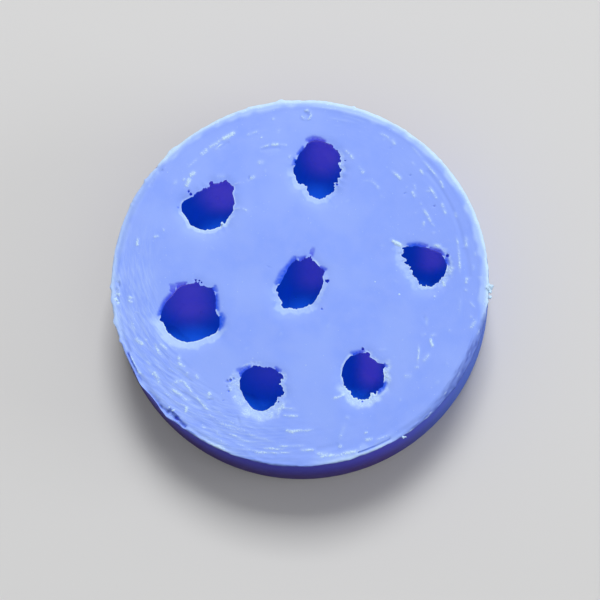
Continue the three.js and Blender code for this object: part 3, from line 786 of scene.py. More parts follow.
class Face:
    """Places on the upper face: their height over its level, and how pale, how scuffed and how
    filmy they are. Each method adds one kind of mark."""

    def __init__(self, x, y):
        self.x, self.y = x, y
        self.radius = np.hypot(x, y)
        self.turn = np.degrees(np.arctan2(y, x)) % 360
        self.relief, self.pale, self.scuffed, self.film = np.zeros((4, len(x)))
        self.patchy = 0.6 + 0.5 * flat_noise(x, y, 0.7, 12)

    def swell(self):
        for strength, size, seed in swells:
            self.relief += strength * mm * flat_noise(self.x, self.y, size, seed)

    def streak(self):
        """Streaks along the turns near the rim, strong where the casting was scraped."""
        zone = smooth_step(self.radius, *streak_zone)
        near = hump(turned_from(self.turn, scraped_turn), 0, scraped_half)
        scraped = scraped_elsewhere + (1 - scraped_elsewhere) * near
        streaks = turned_layers(self.x, self.y, streak_layers)
        self.relief += streak_height * zone * scraped * streaks
        self.scuffed += 0.55 * zone * scraped * smooth_step(streaks, 0.1, 1.3)

    def scuff(self):
        """The single strokes, each a broken ridge with soft ends."""
        drawn = turned_noise(self.x, self.y, 170, 0.3, 11)
        clumps = np.clip(0.7 + 0.5 * drawn + 0.3 * flat_noise(self.x, self.y, 0.24, 19), 0, 1)
        for start, end, start_radius, end_radius, strength, half in scuffs:
            line = arc(start, end, start_radius, end_radius)
            gap, nearest = distance_to(self.x, self.y, line, 1.0 * mm)
            ends = np.minimum(nearest, len(line) - 1 - nearest) / (0.22 * len(line))
            soft = strength * np.clip(ends + 0.15, 0, 1) * hump(gap, 0, (half + 0.05) * mm)
            fade = soft * clumps
            self.relief += scuff_height * fade
            self.scuffed += 1.2 * fade
            self.pale = np.maximum(self.pale, 0.22 * soft + 0.18 * fade)

    def dent(self):
        broken = 0.75 + 0.3 * flat_noise(self.x, self.y, 0.45, 76)
        for start, end, start_radius, end_radius, half, depth in dents:
            line = arc(start, end, start_radius, end_radius)
            gap, _ = distance_to(self.x, self.y, line, 1.5 * mm)
            hole = 1 - smooth_step(gap, half * 0.4 * mm, half * 1.6 * mm)
            self.relief -= depth * mm * hole
            # Deep dents take the darker film colour: painted shade in them
            self.film = np.maximum(self.film, hole * broken * smooth_step(depth, 0.15, 0.5))

    def burst_bubble(self):
        gap = np.hypot(self.x - bubble_place[0], self.y - bubble_place[1])
        ring = hump(gap, bubble_radius, bubble_wall)
        pit = hump(gap, 0, bubble_pit)
        self.relief += mm * (bubble_height * ring * self.patchy - bubble_height * pit)
        self.scuffed += 1.3 * ring * self.patchy

    def rim(self):
        """The rim's slope, up to a lip or down over a worn bevel, and crumbly all along."""
        turn = self.turn / 360
        level = np.interp(turn * 360, rim_angles, rim_levels)
        for strength, *rest in rim_layers:
            level = level + strength * round_noise(turn, self.radius, *rest)
        across = smooth_step(self.radius, *rim_slope)
        shoulder = 0.05 * hump(self.radius - face_radius, -1.5 * mm, 0.5 * mm)
        self.relief += mm * (level * across + shoulder)

    def rim_light(self):
        """The pale band along the rim, a painted highlight where it catches the window, and scuffed there
        too.
        """
        lit = in_arcs(self.turn, lit_arcs, 12)
        patches = noise(self.turn * 0.4, self.radius / (1.2 * mm), 73)
        band = smooth_step(self.radius + 0.7 * mm * patches, *pale_band)
        edge = smooth_step(self.radius + 0.2 * mm * patches, *pale_edge)
        self.pale = np.maximum(lit * (0.35 * band + 0.6 * edge), self.pale)
        self.scuffed += 0.45 * lit * smooth_step(self.radius, *rough_band) * self.patchy

    def wear(self):
        """The worn bevel: bare of its skin, gritty, and with a pale torn edge."""
        grit = turned_layers(self.x, self.y, grit_layers)
        worn_from = np.interp(self.turn, worn_angles, worn_radii) * mm + 0.22 * mm * grit
        worn = smooth_step(self.radius, worn_from - 0.55 * mm, worn_from + 0.75 * mm)
        self.relief += worn_height * worn * grit
        self.film = np.maximum(self.film, worn * np.clip(0.72 - 0.3 * grit, 0, 0.95))
        torn_edge = hump(self.radius - worn_from, 0.3 * mm, 0.4 * mm)
        flakes = 0.9 * torn_edge * smooth_step(grit, 0.1, 0.9)
        self.scuffed += flakes + 0.4 * worn * smooth_step(grit, 0.6, 1.2)

    def open_mouths(self):
        for mouth in mouths.values():
            sag, pale, scuffed, film = mouth_marks(mouth, self.x, self.y)
            self.relief -= sag
            self.pale += pale
            self.scuffed = np.maximum(self.scuffed * (1 - np.minimum(film, 1)), scuffed)
            self.film = np.maximum(self.film, film)
        lowest = -film_drop - 0.02 * mm
        in_face = self.radius < face_radius - 3 * mm
        self.relief = np.where(in_face, np.maximum(self.relief, lowest), self.relief)


def face_marks(x, y):
    """The upper face: its height over its level, and how pale, how scuffed and how filmy it is."""
    face = Face(x, y)
    face.swell()
    face.streak()
    face.scuff()
    face.dent()
    face.burst_bubble()
    face.rim()
    face.rim_light()
    face.wear()
    face.open_mouths()
    return face.relief, np.clip(face.pale, 0, 1), np.clip(face.scuffed, 0, 1.2), face.film


# The whole casting

def wall_radius(height):
    return base_radius + (face_radius - base_radius) * height / face_level


def casting_profile():
    """Radius and height from the middle of the underside, up the wall, to the middle of the face."""
    flat = base_radius - under_margin
    profile = [(flat * i / under_rings, 0) for i in range(under_rings + 1)]
    for i in range(base_edge_steps + 1):
        turn = math.pi / 2 * i / base_edge_steps
        radius = wall_radius(base_edge_round) - base_edge_round * (1 - math.sin(turn))
        profile.append((radius, base_edge_round * (1 - math.cos(turn))))
    wall_top = face_level - top_edge_round
    rings = round((wall_top - base_edge_round) / wall_ring_step)
    for i in range(1, rings + 1):
        height = base_edge_round + (wall_top - base_edge_round) * i / rings
        profile.append((wall_radius(height), height))
    corner = 0.29
    edge = face_radius - top_edge_round
    profile.append((face_radius - top_edge_round * corner, wall_top + top_edge_round * (1 - corner)))
    zones = [(edge, outer_zone, outer_ring_step), (outer_zone, inner_zone, middle_ring_step),
             (inner_zone, 0, inner_ring_step)]
    for reach, end, step in zones:
        rings = round((reach - end) / step)
        profile += [(reach + (end - reach) * i / rings, face_level) for i in range(rings)]
    profile.append((0, face_level))
    return np.array(profile)


def wrapped_puck():
    """A flat grid wrapped round the axis along the profile, and closed."""
    profile = casting_profile()
    bpy.ops.mesh.primitive_grid_add(x_subdivisions=columns, y_subdivisions=len(profile) - 1, size=2)
    puck = bpy.context.object
    spots = points_of(puck)
    row = np.rint((spots[:, 1] + 1) / 2 * (len(profile) - 1)).astype(int)
    column = np.rint((spots[:, 0] + 1) / 2 * columns).astype(int) % columns
    angle = 2 * math.pi * column / columns
    radius, height = profile[row, 0], profile[row, 1]
    move_points(puck, np.stack([radius * np.cos(angle), radius * np.sin(angle), height], 1))
    edit(puck)
    bpy.ops.mesh.remove_doubles(threshold=0.001 * mm)
    bpy.ops.mesh.normals_make_consistent(inside=False)
    close_edit()
    return puck


def faces_to_split(puck, level):
    """Which faces the next refining splits: the marked parts of the face and the upper wall."""
    x, y, z = face_centres(puck).T
    radius = np.hypot(x, y)
    gap = np.full(len(x), 9 * mm)
    for mouth in mouths.values():
        gap = np.minimum(gap, distance_to(x, y, mouth["outline"], 6 * mm)[0])
    on_face = z > face_level - 0.1 * mm
    near_mouth = gap < mouth_margin
    if level == 0:
        return (on_face & ((radius > plain_zone) | near_mouth)) | ((z > upper_wall) & ~on_face)
    marked = on_face & (radius > inner_zone)
    if level == 1:
        return (marked & ((radius > outer_zone) | near_mouth)) | ((z > wall_top_band) & ~on_face)
    return marked & (gap < mouth_close)


def give_relief(puck):
    """Moves each point to its place on the marked face, the ragged rim or the slack wall."""
    x, y, z = points_of(puck).T
    step = 2 * math.pi / columns
    angle = np.arctan2(y, x) % (2 * math.pi)
    radius = np.hypot(x, y) * np.cos(angle % step - step / 2) / math.cos(step / 2)
    turn = angle / (2 * math.pi)
    x, y = radius * np.cos(angle), radius * np.sin(angle)
    relief, _, _, _ = face_marks(x, y)
    height = z + smooth_step(z, *relief_band) * relief
    wall = smooth_step(radius, *wall_band)
    rim = smooth_step(z, *ragged_band)
    ragged = round_layers(turn, z, ragged_layers)
    for place, half, reach in rim_tags:
        tag = hump(turned_from(turn * 360, place), 0, half)
        ragged = ragged + reach * tag * smooth_step(z, *tag_band)
    slack = round_layers(turn, z, slack_layers)
    radius = radius + mm * wall * (ragged * rim + slack * smooth_step(z, *slack_band))
    under = 1 - smooth_step(z, 0, 0.01 * mm)
    lift = under_lift * (1 + flat_noise(x, y, 6, 15)) * under
    lift = lift * (1 - smooth_step(radius, *under_ring))
    move_points(puck, np.stack([radius * np.cos(angle), radius * np.sin(angle), height + lift], 1))


def make_casting():
    """The whole puck: wrapped from a grid, refined where it is marked, and given its relief."""
    puck = wrapped_puck()
    for level in range(3):
        refine(puck, faces_to_split(puck, level))
    give_relief(puck)
    return puck


# The stones that left the hollows

def stone_points(mouth):
    """The corners of one stone: those of the frame's hollow, and a ring just under the mouth."""
    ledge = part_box(mouth["name"])[0].z
    reach = rounded_reach(mouth, np.radians(np.arange(0, 360, 5))).max() + stone_search
    spots = set()
    for vertex in frame["nodes"]["mold_block"].data.vertices:
        place = vertex.co
        apart = np.hypot(*(np.array(place.xy) - mouth["centre"]))
        if 1 * mm < place.z < ledge - 0.1 * mm and apart < reach:
            spots.add(tuple(round(c, 7) for c in place))
    top = [(x, y, face_level - hollow_under) for x, y in ring_round(mouth, 10, -stone_inset)]
    return sorted(spots) + top


def stone(mouth):
    """The lump that left the hollow: a faceted stone, worn round at its edges."""
    mesh = bpy.data.meshes.new("stone")
    mesh.from_pydata(stone_points(mouth), [], [])
    lump = bpy.data.objects.new("stone", mesh)
    bpy.context.scene.collection.objects.link(lump)
    edit(lump)
    bpy.ops.mesh.convex_hull()
    close_edit()
    grid = lump.modifiers.new("grid", "REMESH")
    grid.mode = "VOXEL"
    grid.voxel_size = stone_grain
    soften = lump.modifiers.new("soften", "SMOOTH")
    soften.factor = 0.5
    soften.iterations = 4
    apply_all(lump)
    spots = points_of(lump)
    x, y, z = spots.T
    bump = 0.10 * noise(x / (1.8 * mm) + z / (2.1 * mm), y / (1.8 * mm) - z / (1.7 * mm), 61)
    bump += 0.04 * noise(x / (0.8 * mm) - z / (0.9 * mm), y / (0.8 * mm) + z / (1.1 * mm), 62)
    below = smooth_step(face_level - stone_marks_from - z, 0, 1 * mm)
    move_points(lump, spots + normals_of(lump) * (mm * bump * below)[:, None])
    return lump


# Tools that part the casting

def prism(name, outline, low, high):
    """A straight block over a flat outline."""
    bpy.ops.mesh.primitive_circle_add(vertices=len(outline), fill_type="NGON")
    piece = bpy.context.object
    piece.name = name
    move_points(piece, np.column_stack([outline, np.full(len(outline), low)]))
    edit(piece)
    bpy.ops.mesh.extrude_region_move(TRANSFORM_OT_translate={"value": (0, 0, high - low)})
    bpy.ops.mesh.select_all(action="SELECT")
    bpy.ops.mesh.normals_make_consistent(inside=False)
    close_edit()
    return piece


def round_block(radius, depth, middle):
    bpy.ops.mesh.primitive_cylinder_add(vertices=columns * 2, radius=radius, depth=depth,
                                        location=(0, 0, middle))
    bpy.ops.object.transform_apply()
    return bpy.context.object


def ring_block(inner, outer, low, high):
    """A plain ring of square section."""
    ring = round_block(outer, high - low, (low + high) / 2)
    core = round_block(inner, 3 * (high - low), (low + high) / 2)
    carve(ring, core, "DIFFERENCE")
    drop([core])
    return ring


# Making and parting the casting

casting = make_casting()
cut_top = face_level + cut_over
stones = join([stone(mouth) for mouth in mouths.values()])
tears = join([prism("tear", mouth["outline"], face_level - tear_drop, cut_top) for mouth in mouths.values()])
carve(casting, stones, "DIFFERENCE")
carve(casting, tears, "DIFFERENCE")

skin_blocks = join([prism("skin", ring_round(mouth, 3, skin_reach), face_level - ledge_drop, cut_top)
                    for mouth in mouths.values()])
lip_block = ring_block(face_radius - lip_width, base_radius + 2 * mm, face_level - lip_drop, cut_top)
skins = copy_of(casting, "skins")
lip = copy_of(casting, "rim_lip")
block = casting
block.name = "silicone_block"
carve(skins, skin_blocks, "INTERSECT")
carve(lip, lip_block, "INTERSECT")
carve(block, skin_blocks, "DIFFERENCE")
carve(block, lip_block, "DIFFERENCE")
drop([stones, tears, skin_blocks, lip_block])


def part_loose(piece):
    """Parts one object into its loose pieces, and drops the chips."""
    name = piece.name
    edit(piece)
    bpy.ops.mesh.separate(type="LOOSE")
    close_edit()
    parts = [part for part in bpy.data.objects if part.name.startswith(name)]
    whole = [part for part in parts if len(part.data.vertices) >= smallest_skin]
    drop([part for part in parts if part not in whole])
    return whole


skin_pieces = part_loose(skins)


def nearest_mouth(piece):
    middle = points_of(piece)[:, :2].mean(0)
    return min(mouths.values(), key=lambda mouth: np.hypot(*(mouth["centre"] - middle)))


# Marks painted on the points of each piece

mark_names = ["pale", "scuffed", "film", "hollow", "violet", "sunny", "wall"]


def hollow_glow(x, y):
    """How strongly each place would take the painted violet glow if it were in the hollow that is closest to
    it.
    """
    centres = np.array([mouth["centre"] for mouth in mouths.values()])
    apart = np.stack([x[:, None] - centres[:, 0], y[:, None] - centres[:, 1]])
    closest = np.hypot(*apart).argmin(1)
    across, along = apart[:, np.arange(len(x)), closest] / mm
    glow = np.array([mouth["violet"] for mouth in mouths.values()])[closest].T
    middle, full_from, reach_across, reach_down, strength = glow
    below = np.minimum(along - full_from, 0)
    return strength * np.exp(-((across - middle) / reach_across) ** 2 - (below / reach_down) ** 2)


def wall_marks(x, y, z, facing):
    """1 on the wall, down from just under the rim and in to its foot."""
    radius = np.hypot(x, y)
    wall = smooth_step(radius, *wall_colour_band)
    wall = wall * (1 - smooth_step(facing, 0.15, 0.5)) * (z > 0.01 * mm)
    outside = (radius > wall_radius(z) - 0.4 * mm) & (z > 0.5 * mm) & (z < face_level - 0.75 * mm)
    return np.where(outside, 1, wall)


def paint_marks(piece):
    """Stores on each point how pale, scuffed and filmy it is, where it is in a hollow, how
    violet it glows there, how far it is turned to the window, and where it is on the wall."""
    x, y, z = points_of(piece).T
    _, to_window, facing = normals_of(piece).T
    _, pale, scuffed, film = face_marks(x, y)
    top = smooth_step(z, *top_band) * smooth_step(facing, -0.3, 0.1)
    wall = wall_marks(x, y, z, facing)
    if piece.name.startswith("crumb"):
        pale, scuffed, film, top, wall = np.outer([0.95, 0, 0, 1, 0], np.ones(len(x)))
    inner = (np.hypot(x, y) < face_radius - 1.7 * mm) & (z > 0.5 * mm)
    hollow = np.where(inner, 1 - top, 0)
    marks = [pale * top, scuffed * top, film * top, hollow, hollow_glow(x, y),
             hollow * smooth_step(to_window, 0.1, 0.7), wall]
    for name, values in zip(mark_names, marks):
        mark = piece.data.attributes.new(name, "FLOAT", "POINT")
        mark.data.foreach_set("value", values.astype(np.float32))


# Nodes

class Nodes:
    """Adds nodes to one tree. What feeds a node is a number, a colour or another node's output,
    and each method but add hands back an output."""

    def __init__(self, tree):
        self.tree = tree

    def add(self, kind, **settings):
        made = self.tree.nodes.new(kind)
        for name, value in settings.items():
            setattr(made, name, value)
        return made

    def feed(self, socket, value):
        if isinstance(value, bpy.types.NodeSocket):
            self.tree.links.new(value, socket)
        elif isinstance(value, tuple):
            socket.default_value = value + (1,)
        else:
            socket.default_value = value

    def sums(self, kind, *values):
        made = self.add("ShaderNodeMath", operation=kind)
        for socket, value in zip(made.inputs, values):
            self.feed(socket, value)
        return made.outputs[0]

    def times(self, first, second):
        return self.sums("MULTIPLY", first, second)

    def times_add(self, first, second, third):
        return self.sums("MULTIPLY_ADD", first, second, third)

    def ramp(self, value, start, end, low=0.0, high=1.0):
        """A soft step from low at the start to high at the end."""
        made = self.add("ShaderNodeMapRange", interpolation_type="SMOOTHSTEP")
        given = {"Value": value, "From Min": start, "From Max": end, "To Min": low, "To Max": high}
        for name, amount in given.items():
            self.feed(made.inputs[name], amount)
        return made.outputs["Result"]

    def mix(self, share, first, second):
        made = self.add("ShaderNodeMix", data_type="RGBA")
        for slot, value in [(0, share), (6, first), (7, second)]:
            self.feed(made.inputs[slot], value)
        return made.outputs[2]

    def cloud(self, vector, scale, detail, rough):
        made = self.add("ShaderNodeTexNoise")
        for name, value in [("Vector", vector), ("Scale", scale), ("Detail", detail), ("Roughness", rough)]:
            self.feed(made.inputs[name], value)
        return made.outputs["Fac"]

    def vector(self, x, y, z):
        made = self.add("ShaderNodeCombineXYZ")
        for socket, value in zip(made.inputs, (x, y, z)):
            self.feed(socket, value)
        return made.outputs[0]


# Silicone

# Along the turn at which the blade scraped the casting, and how much its nicks slant inwards
blade_way = Vector((-math.sin(math.radians(blade_turn)), math.cos(math.radians(blade_turn))))
nick_slant = 0.3

# Bands of place in mm, from where they set in to where they are full: up the wall, where its
# painted shade fades, and the face, out over the face, to the right, where the wall has painted
# light, and to the upper right, where the face has painted shade
upper_band = (10.0, 12.0)
wall_painted_shade_band = (2.0, 13.5)
under_rim = (13.8, 13.2)
streak_ring = (25.0, 33.0)
scraped_ring = (27.0, 31.0)
bevel_ring = (35.4, 36.0)
wall_painted_light_band = (14.0, 40.0)
upper_right_painted_shade_band = (12.0, 36.0)

# Patterns: how many bumps in a mm, how many finer layers, and how strong these are
broad_pattern = (0.09, 2.0, 0.55)
mottle_pattern = (0.45, 3.0, 0.55)
grain_pattern = (5.0, 3.0, 0.65)
speck_pattern = (2.0, 1.0, 0.55)
crumble_pattern = (3.6, 4.0, 0.7)
scratch_pattern = (1.0, 3.0, 0.6)
nick_pattern = (1.0, 3.0, 0.65)

# Bumps of the scratches along the turn and for each mm across it, and bumps of the nicks for
# each mm both ways
scratch_around = 14.0
scratch_across = 2.6
nick_along = 0.26
nick_across = 2.2

# How much paler streaks, nicks, specks and scuffs are
streak_paleness = 0.18
nick_paleness = 0.24
speck_paleness = 0.35
scuff_paleness = 0.75

# Roughness of the face, and what grain, the wall and the hollows add to it
plain_roughness = 0.40
grain_roughness = 0.16
wall_roughness = 0.1
hollow_roughness = 0.3

# Small relief in mm
scratch_relief = 0.05
pinhole_relief = -0.25
grain_relief = 0.014
mottle_relief = 0.03
scuff_relief = 0.05
nick_relief = 0.06

# Colours of the face, in linear light; the shade colour is painted shade towards the upper right
face_blue = (0.238, 0.375, 1.0)
face_light = (0.275, 0.415, 1.0)
face_mottle = (0.30, 0.43, 1.0)
face_nick = (0.18, 0.31, 0.93)
face_painted_shade = (0.22, 0.35, 0.95)
# Pale, for scuffs and for painted highlights
face_pale = (0.57, 0.78, 1.0)
# Dark in the pinholes: painted shade
pinhole_painted_shade = (0.02, 0.02, 0.30)

# Colours of the wall: at its foot, dark and violet as painted shade, under the rim, to the right, lighter as
# painted light, and in its mottle
painted_shade_wall_foot = (0.052, 0.021, 0.20)
wall_top_blue = (0.066, 0.062, 0.70)
painted_light_wall_right = (0.06, 0.18, 0.82)
wall_mottle = (0.12, 0.14, 0.62)

# Colours of the thin films, darker than the face partly as thin skin and partly as painted shade: blue,
# violet where the painted glow is, and on the worn bevel
film_blue = (0.012, 0.10, 0.86)
film_painted_glow = (0.075, 0.07, 0.78)
bevel_blue = (0.075, 0.13, 0.50)

# Colours of the hollows: deep blue, partly clean silicone and partly painted shade; violet, where the
# painted glow is; and darker where they are turned to the window, as painted shade
hollow_blue = (0.0, 0.125, 0.74)
hollow_painted_glow = (0.40, 0.30, 0.95)
hollow_window_painted_shade = (0.0, 0.055, 0.45)

# Painted glow in the hollows, standing in for the light that comes through the silicone
glow_none = (0.0, 0.0, 0.0)
glow_blue = (0.0, 0.013, 0.083)
glow_violet = (0.010, 0.005, 0.078)


class Silicone(Nodes):
    """The shared nodes of the casting, from each place in mm and the painted marks."""

    def __init__(self, tree):
        super().__init__(tree)
        self.marks = self.add("NodeGroupInput")
        scaled = self.add("ShaderNodeVectorMath", operation="SCALE")
        self.feed(scaled.inputs[0], self.add("ShaderNodeTexCoord").outputs["Object"])
        self.feed(scaled.inputs["Scale"], 1000)
        self.place = scaled.outputs[0]
        parts = self.add("ShaderNodeSeparateXYZ")
        self.feed(parts.inputs[0], self.place)
        self.x, self.y, self.z = parts.outputs
        square = self.sums("ADD", self.times(self.x, self.x), self.times(self.y, self.y))
        self.radius = self.sums("SQRT", square)
        self.mottle = self.cloud(self.place, *mottle_pattern)
        self.grain = self.cloud(self.place, *grain_pattern)
        self.upper = self.ramp(self.z, *upper_band)
        self.on_face = self.sums("SUBTRACT", 1.0, self.mark("wall"))
        self.add_scraping()
        self.add_pinholes()
        crumble = self.times_add(self.cloud(self.place, *crumble_pattern), 3.4, -1.05)
        self.scuff = self.ramp(self.times(self.mark("scuffed"), crumble), 0.16, 0.7)

    def mark(self, name):
        return self.marks.outputs[name]

    def add_scraping(self):
        """Fine scratches along the turns, and slanted nicks where the blade scraped."""
        safe = self.sums("MAXIMUM", self.radius, 0.01)
        across = self.times_add(self.radius, scratch_across, self.times(self.z, scratch_across * 0.6))
        around = [self.times(self.sums("DIVIDE", side, safe), scratch_around) for side in (self.x, self.y)]
        self.scratch = self.cloud(self.vector(*around, across), *scratch_pattern)
        along = self.times_add(self.x, blade_way.x, self.times(self.y, blade_way.y))
        facing = self.times_add(self.x, blade_way.y, self.times(self.y, -blade_way.x))
        facing = self.ramp(self.sums("DIVIDE", facing, safe), 0.5, 0.92)
        ring = self.times(self.ramp(self.radius, *scraped_ring), self.upper)
        self.scraped = self.times(facing, ring)
        slanted = self.times_add(along, nick_slant, self.radius)
        nicks = self.vector(self.times(along, nick_along), self.times(slanted, nick_across), 0.0)
        self.nicks = self.cloud(nicks, *nick_pattern)
        outer = self.times(self.ramp(self.radius, *streak_ring), self.upper)
        self.worn = self.times(outer, self.times_add(self.scraped, 0.8, 0.2))

    def add_pinholes(self):
        """Small holes in some of the cells of a pattern, under the rim."""
        cells = self.add("ShaderNodeTexVoronoi")
        self.feed(cells.inputs["Vector"], self.place)
        self.feed(cells.inputs["Scale"], 0.3)
        chance = self.add("ShaderNodeSeparateColor")
        self.feed(chance.inputs[0], cells.outputs["Color"])
        holes = self.ramp(cells.outputs["Distance"], 0.085, 0.055)
        holes = self.times(holes, self.ramp(chance.outputs[0], 0.5, 0.55))
        self.pinholes = self.times(holes, self.ramp(self.z, *under_rim))

    def paleness(self):
        """Where the face is pale: at the painted pale mark, partly scuffs and partly painted highlight, and
        at streaks, nicks, specks and scuffs.
        """
        streaks = self.times(self.ramp(self.scratch, 0.56, 0.72), self.times(self.worn, self.on_face))
        dots = self.ramp(self.cloud(self.place, *speck_pattern), 0.73, 0.78)
        specks = self.times(dots, self.times(self.on_face, self.upper))
        nicks = self.times(self.ramp(self.nicks, 0.4, 0.7), self.scraped)
        pale = self.times_add(streaks, streak_paleness, self.mark("pale"))
        pale = self.times_add(nicks, nick_paleness, pale)
        pale = self.times_add(specks, speck_paleness, pale)
        return self.sums("MINIMUM", self.times_add(self.scuff, scuff_paleness, pale), 1.0)

    def face_colour(self):
        broad = self.cloud(self.place, *broad_pattern)
        colour = self.mix(self.ramp(broad, 0.35, 0.65), face_blue, face_light)
        colour = self.mix(self.ramp(self.mottle, 0.3, 0.75, 0.0, 0.35), colour, face_mottle)
        nicked = self.times(self.ramp(self.nicks, 0.5, 0.32), self.times(self.scraped, 0.18))
        colour = self.mix(nicked, colour, face_nick)
        # Painted shade: the face turns darker towards the upper right
        upper_right = self.times_add(self.x, 0.8, self.times(self.y, 0.6))
        colour = self.mix(self.ramp(upper_right, *upper_right_painted_shade_band, 0.0, 0.5), colour, face_painted_shade)
        return self.mix(self.paleness(), colour, face_pale)

    def wall_colour(self):
        # Painted shade: the wall darkens and turns violet towards its foot
        colour = self.mix(self.ramp(self.z, *wall_painted_shade_band), painted_shade_wall_foot, wall_top_blue)
        # Painted light: the wall is lighter and bluer towards the right, where the side window falls
        colour = self.mix(self.ramp(self.x, *wall_painted_light_band), colour, painted_light_wall_right)
        return self.mix(self.ramp(self.mottle, 0.35, 0.8, 0.0, 0.22), colour, wall_mottle)

    def film_colour(self):
        # Deeper blue than the face: partly thin skin, partly painted shade
        colour = self.mix(self.mark("violet"), film_blue, film_painted_glow)
        return self.mix(self.ramp(self.radius, *bevel_ring), colour, bevel_blue)

    # Deep blue in the hollows: partly clean silicone, partly painted shade
    def hollow_colour(self):
        # Painted violet glow in the upper part of each hollow
        colour = self.mix(self.ramp(self.mark("violet"), 0.04, 1.0), hollow_blue, hollow_painted_glow)
        # Painted shade: the hollows are darker where they face the window, against its direct light
        return self.mix(self.times(self.mark("sunny"), 0.6), colour, hollow_window_painted_shade)

    def colour(self, deep):
        colour = self.mix(self.mark("wall"), self.face_colour(), self.wall_colour())
        # Painted shade in the pinholes
        colour = self.mix(self.times(self.pinholes, 0.75), colour, pinhole_painted_shade)
        colour = self.mix(self.mark("film"), colour, self.film_colour())
        return self.mix(deep, colour, self.hollow_colour())

    def glow(self, deep):
        # Painted glow: emission in the hollows, blue, and violet where the glow mark is
        return self.mix(deep, glow_none, self.mix(self.mark("violet"), glow_blue, glow_violet))

    def roughness(self):
        rough = self.times_add(self.grain, grain_roughness, plain_roughness)
        rough = self.times_add(self.mark("wall"), wall_roughness, rough)
        return self.times_add(self.mark("hollow"), hollow_roughness, rough)

    def height(self):
        height = self.times(self.scratch, self.times(self.worn, scratch_relief))
        height = self.times_add(self.pinholes, pinhole_relief, height)
        height = self.times_add(self.grain, grain_relief, height)
        height = self.times_add(self.mottle, mottle_relief, height)
        height = self.times_add(self.scuff, scuff_relief, height)
        return self.times_add(self.times(self.nicks, self.scraped), nick_relief, height)


def silicone_marks():
    """Node group: the casting's colour with its painted light and shade, the painted glow in the hollows
    that stands in for light coming through the silicone, its roughness and its small relief, from its place
    and marks."""
    group = bpy.data.node_groups.new("silicone_marks", "ShaderNodeTree")
    for name in mark_names:
        group.interface.new_socket(name, in_out="INPUT", socket_type="NodeSocketFloat")
    for name, kind in [("Colour", "Color"), ("Glow", "Color"), ("Roughness", "Float"), ("Height", "Float")]:
        group.interface.new_socket(name, in_out="OUTPUT", socket_type="NodeSocket" + kind)
    nodes = Silicone(group)
    deep = nodes.ramp(nodes.mark("hollow"), 0.0, 0.6)
    looks = {"Colour": nodes.colour(deep), "Glow": nodes.glow(deep), "Roughness": nodes.roughness(),
             "Height": nodes.height()}
    outs = nodes.add("NodeGroupOutput")
    for name, value in looks.items():
        nodes.feed(outs.inputs[name], value)
    return group


marks_group = silicone_marks()


def silicone(name):
    material = bpy.data.materials.new(name)
    material.use_nodes = True
    nodes = Nodes(material.node_tree)
    shader = material.node_tree.nodes["Principled BSDF"]
    marks = nodes.add("ShaderNodeGroup", node_tree=marks_group)
    for mark in mark_names:
        source = nodes.add("ShaderNodeAttribute", attribute_name=mark)
        nodes.feed(marks.inputs[mark], source.outputs["Fac"])
    bump = nodes.add("ShaderNodeBump")
    bump.inputs["Distance"].default_value = 1 * mm
    bump.inputs["Strength"].default_value = 0.6
    nodes.feed(bump.inputs["Height"], marks.outputs["Height"])
    nodes.feed(shader.inputs["Base Color"], marks.outputs["Colour"])
    nodes.feed(shader.inputs["Emission Color"], marks.outputs["Glow"])
    nodes.feed(shader.inputs["Roughness"], marks.outputs["Roughness"])
    nodes.feed(shader.inputs["Normal"], bump.outputs["Normal"])
    shader.inputs["IOR"].default_value = 1.43
    shader.inputs["Specular IOR Level"].default_value = 0.3
    shader.inputs["Emission Strength"].default_value = 1.0
    return material


block_silicone = silicone("block_silicone")
thin_silicone = silicone("thin_silicone")


# Finishing the pieces

def finish(piece, material, replaced):
    paint_marks(piece)
    piece.data.materials.clear()
    piece.data.materials.append(material)
    only(piece)
    bpy.ops.object.shade_smooth_by_angle(angle=math.radians(50))
    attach(piece, "root")
    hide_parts(replaced)


finish(block, block_silicone, "mold_block")
finish(lip, thin_silicone, "rim_flash")
for piece in skin_pieces:
    mouth = nearest_mouth(piece)
    piece.name = mouth["name"].replace("mouth_flash", "torn_skin")
    finish(piece, thin_silicone, mouth["name"])


def crumb(place, size, flatness, seed):
    """A torn crumb: a small ball, pulled out of shape and sunk into the surface."""
    bpy.ops.mesh.primitive_ico_sphere_add(subdivisions=3, radius=1)
    piece = bpy.context.object
    piece.name = f"crumb_{seed:02d}"
    spots = points_of(piece)
    x, y, z = spots.T * 1.7
    lumps = 0.4 * noise(x + 0.6 * z, y - 0.7 * z, seed)
    grow = 1 + lumps + 0.12 * noise(2.2 * x - z, 2.2 * y + z, seed + 50)
    spots = spots * grow[:, None] * [1, 1, flatness] * size
    move_points(piece, spots * mm + np.array(place) * mm)
    return piece


for number, (x, y, z, size, flatness) in enumerate(crumbs):
    finish(crumb((x, y, z), size, flatness, number), thin_silicone, "rim_flash")


# Camera, at the photograph's viewing angle
camera_tilt = math.radians(13.36)
camera_swing = math.radians(8.71)
camera_distance = 0.3
frame_pixels = 600
lens_pixels = 1437.6
right_pixels = -2.18
up_pixels = -5.63

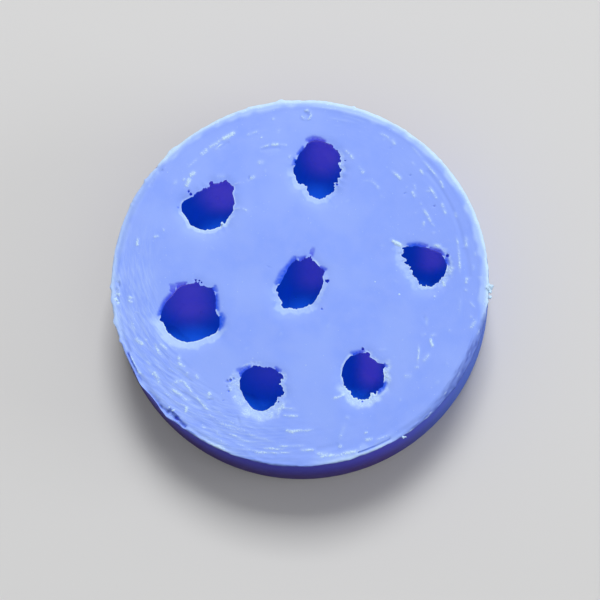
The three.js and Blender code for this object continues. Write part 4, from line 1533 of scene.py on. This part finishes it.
back = Vector((math.sin(camera_swing) * math.sin(camera_tilt),
               -math.cos(camera_swing) * math.sin(camera_tilt), math.cos(camera_tilt)))
up = (Vector((0, 1, 0)) - back * back.y).normalized()
right = up.cross(back)
turned = Matrix((right, up, back)).transposed().to_4x4()
camera_data = bpy.data.cameras.new("camera")
camera_data.sensor_width = 36
camera_data.lens = lens_pixels / frame_pixels * camera_data.sensor_width
camera_data.shift_x = right_pixels / frame_pixels
camera_data.shift_y = up_pixels / frame_pixels
camera_data.clip_start = 0.01
camera = bpy.data.objects.new("camera", camera_data)
camera.matrix_world = Matrix.Translation(back * camera_distance) @ turned
bpy.context.scene.collection.objects.link(camera)
bpy.context.scene.camera = camera

# Floor: pale as seen, and a quiet grey for the light that it throws back at the object
floor_grey = (0.12, 0.12, 0.12)
floor_pale = (0.68, 0.68, 0.68)


def floor_finish():
    material = bpy.data.materials.new("floor")
    material.use_nodes = True
    nodes = Nodes(material.node_tree)
    shader = material.node_tree.nodes["Principled BSDF"]
    shader.inputs["Roughness"].default_value = 0.9
    shader.inputs["Specular IOR Level"].default_value = 0.1
    rays = nodes.add("ShaderNodeLightPath").outputs
    mirrored = nodes.sums("MAXIMUM", rays["Is Glossy Ray"], rays["Is Transmission Ray"])
    seen = nodes.sums("MAXIMUM", rays["Is Camera Ray"], mirrored)
    nodes.feed(shader.inputs["Base Color"], nodes.mix(seen, floor_grey, floor_pale))
    return material


bpy.ops.mesh.primitive_plane_add(size=6, location=(0, 0, 0))
floor = bpy.context.object
floor.name = "floor"
floor.data.materials.append(floor_finish())

# Light: a soft window beyond the top of the face, a weak one to the right, and a quiet room
window_power = 29.8
side_window_power = 10.0
room_light = 0.35

world = bpy.data.worlds.new("studio")
bpy.context.scene.world = world
world.use_nodes = True
world.node_tree.nodes["Background"].inputs["Color"].default_value = (1, 1, 1, 1)
world.node_tree.nodes["Background"].inputs["Strength"].default_value = room_light


def lamp(name, size, power, turn, rise, reach):
    """A square lamp, turned and raised round the object in degrees."""
    light = bpy.data.lights.new(name, "AREA")
    light.size = size
    light.energy = power
    holder = bpy.data.objects.new(name, light)
    bpy.context.scene.collection.objects.link(holder)
    turn, rise = math.radians(turn), math.radians(rise)
    way = Vector((math.cos(turn) * math.cos(rise), math.sin(turn) * math.cos(rise), math.sin(rise)))
    holder.location = way * reach
    holder.rotation_euler = way.to_track_quat("Z", "Y").to_euler()


lamp("window", 0.8, window_power, 84, 52, 2.0)
lamp("side_window", 0.8, side_window_power, -5, 8, 1.5)

bpy.context.scene.view_settings.view_transform = "Standard"
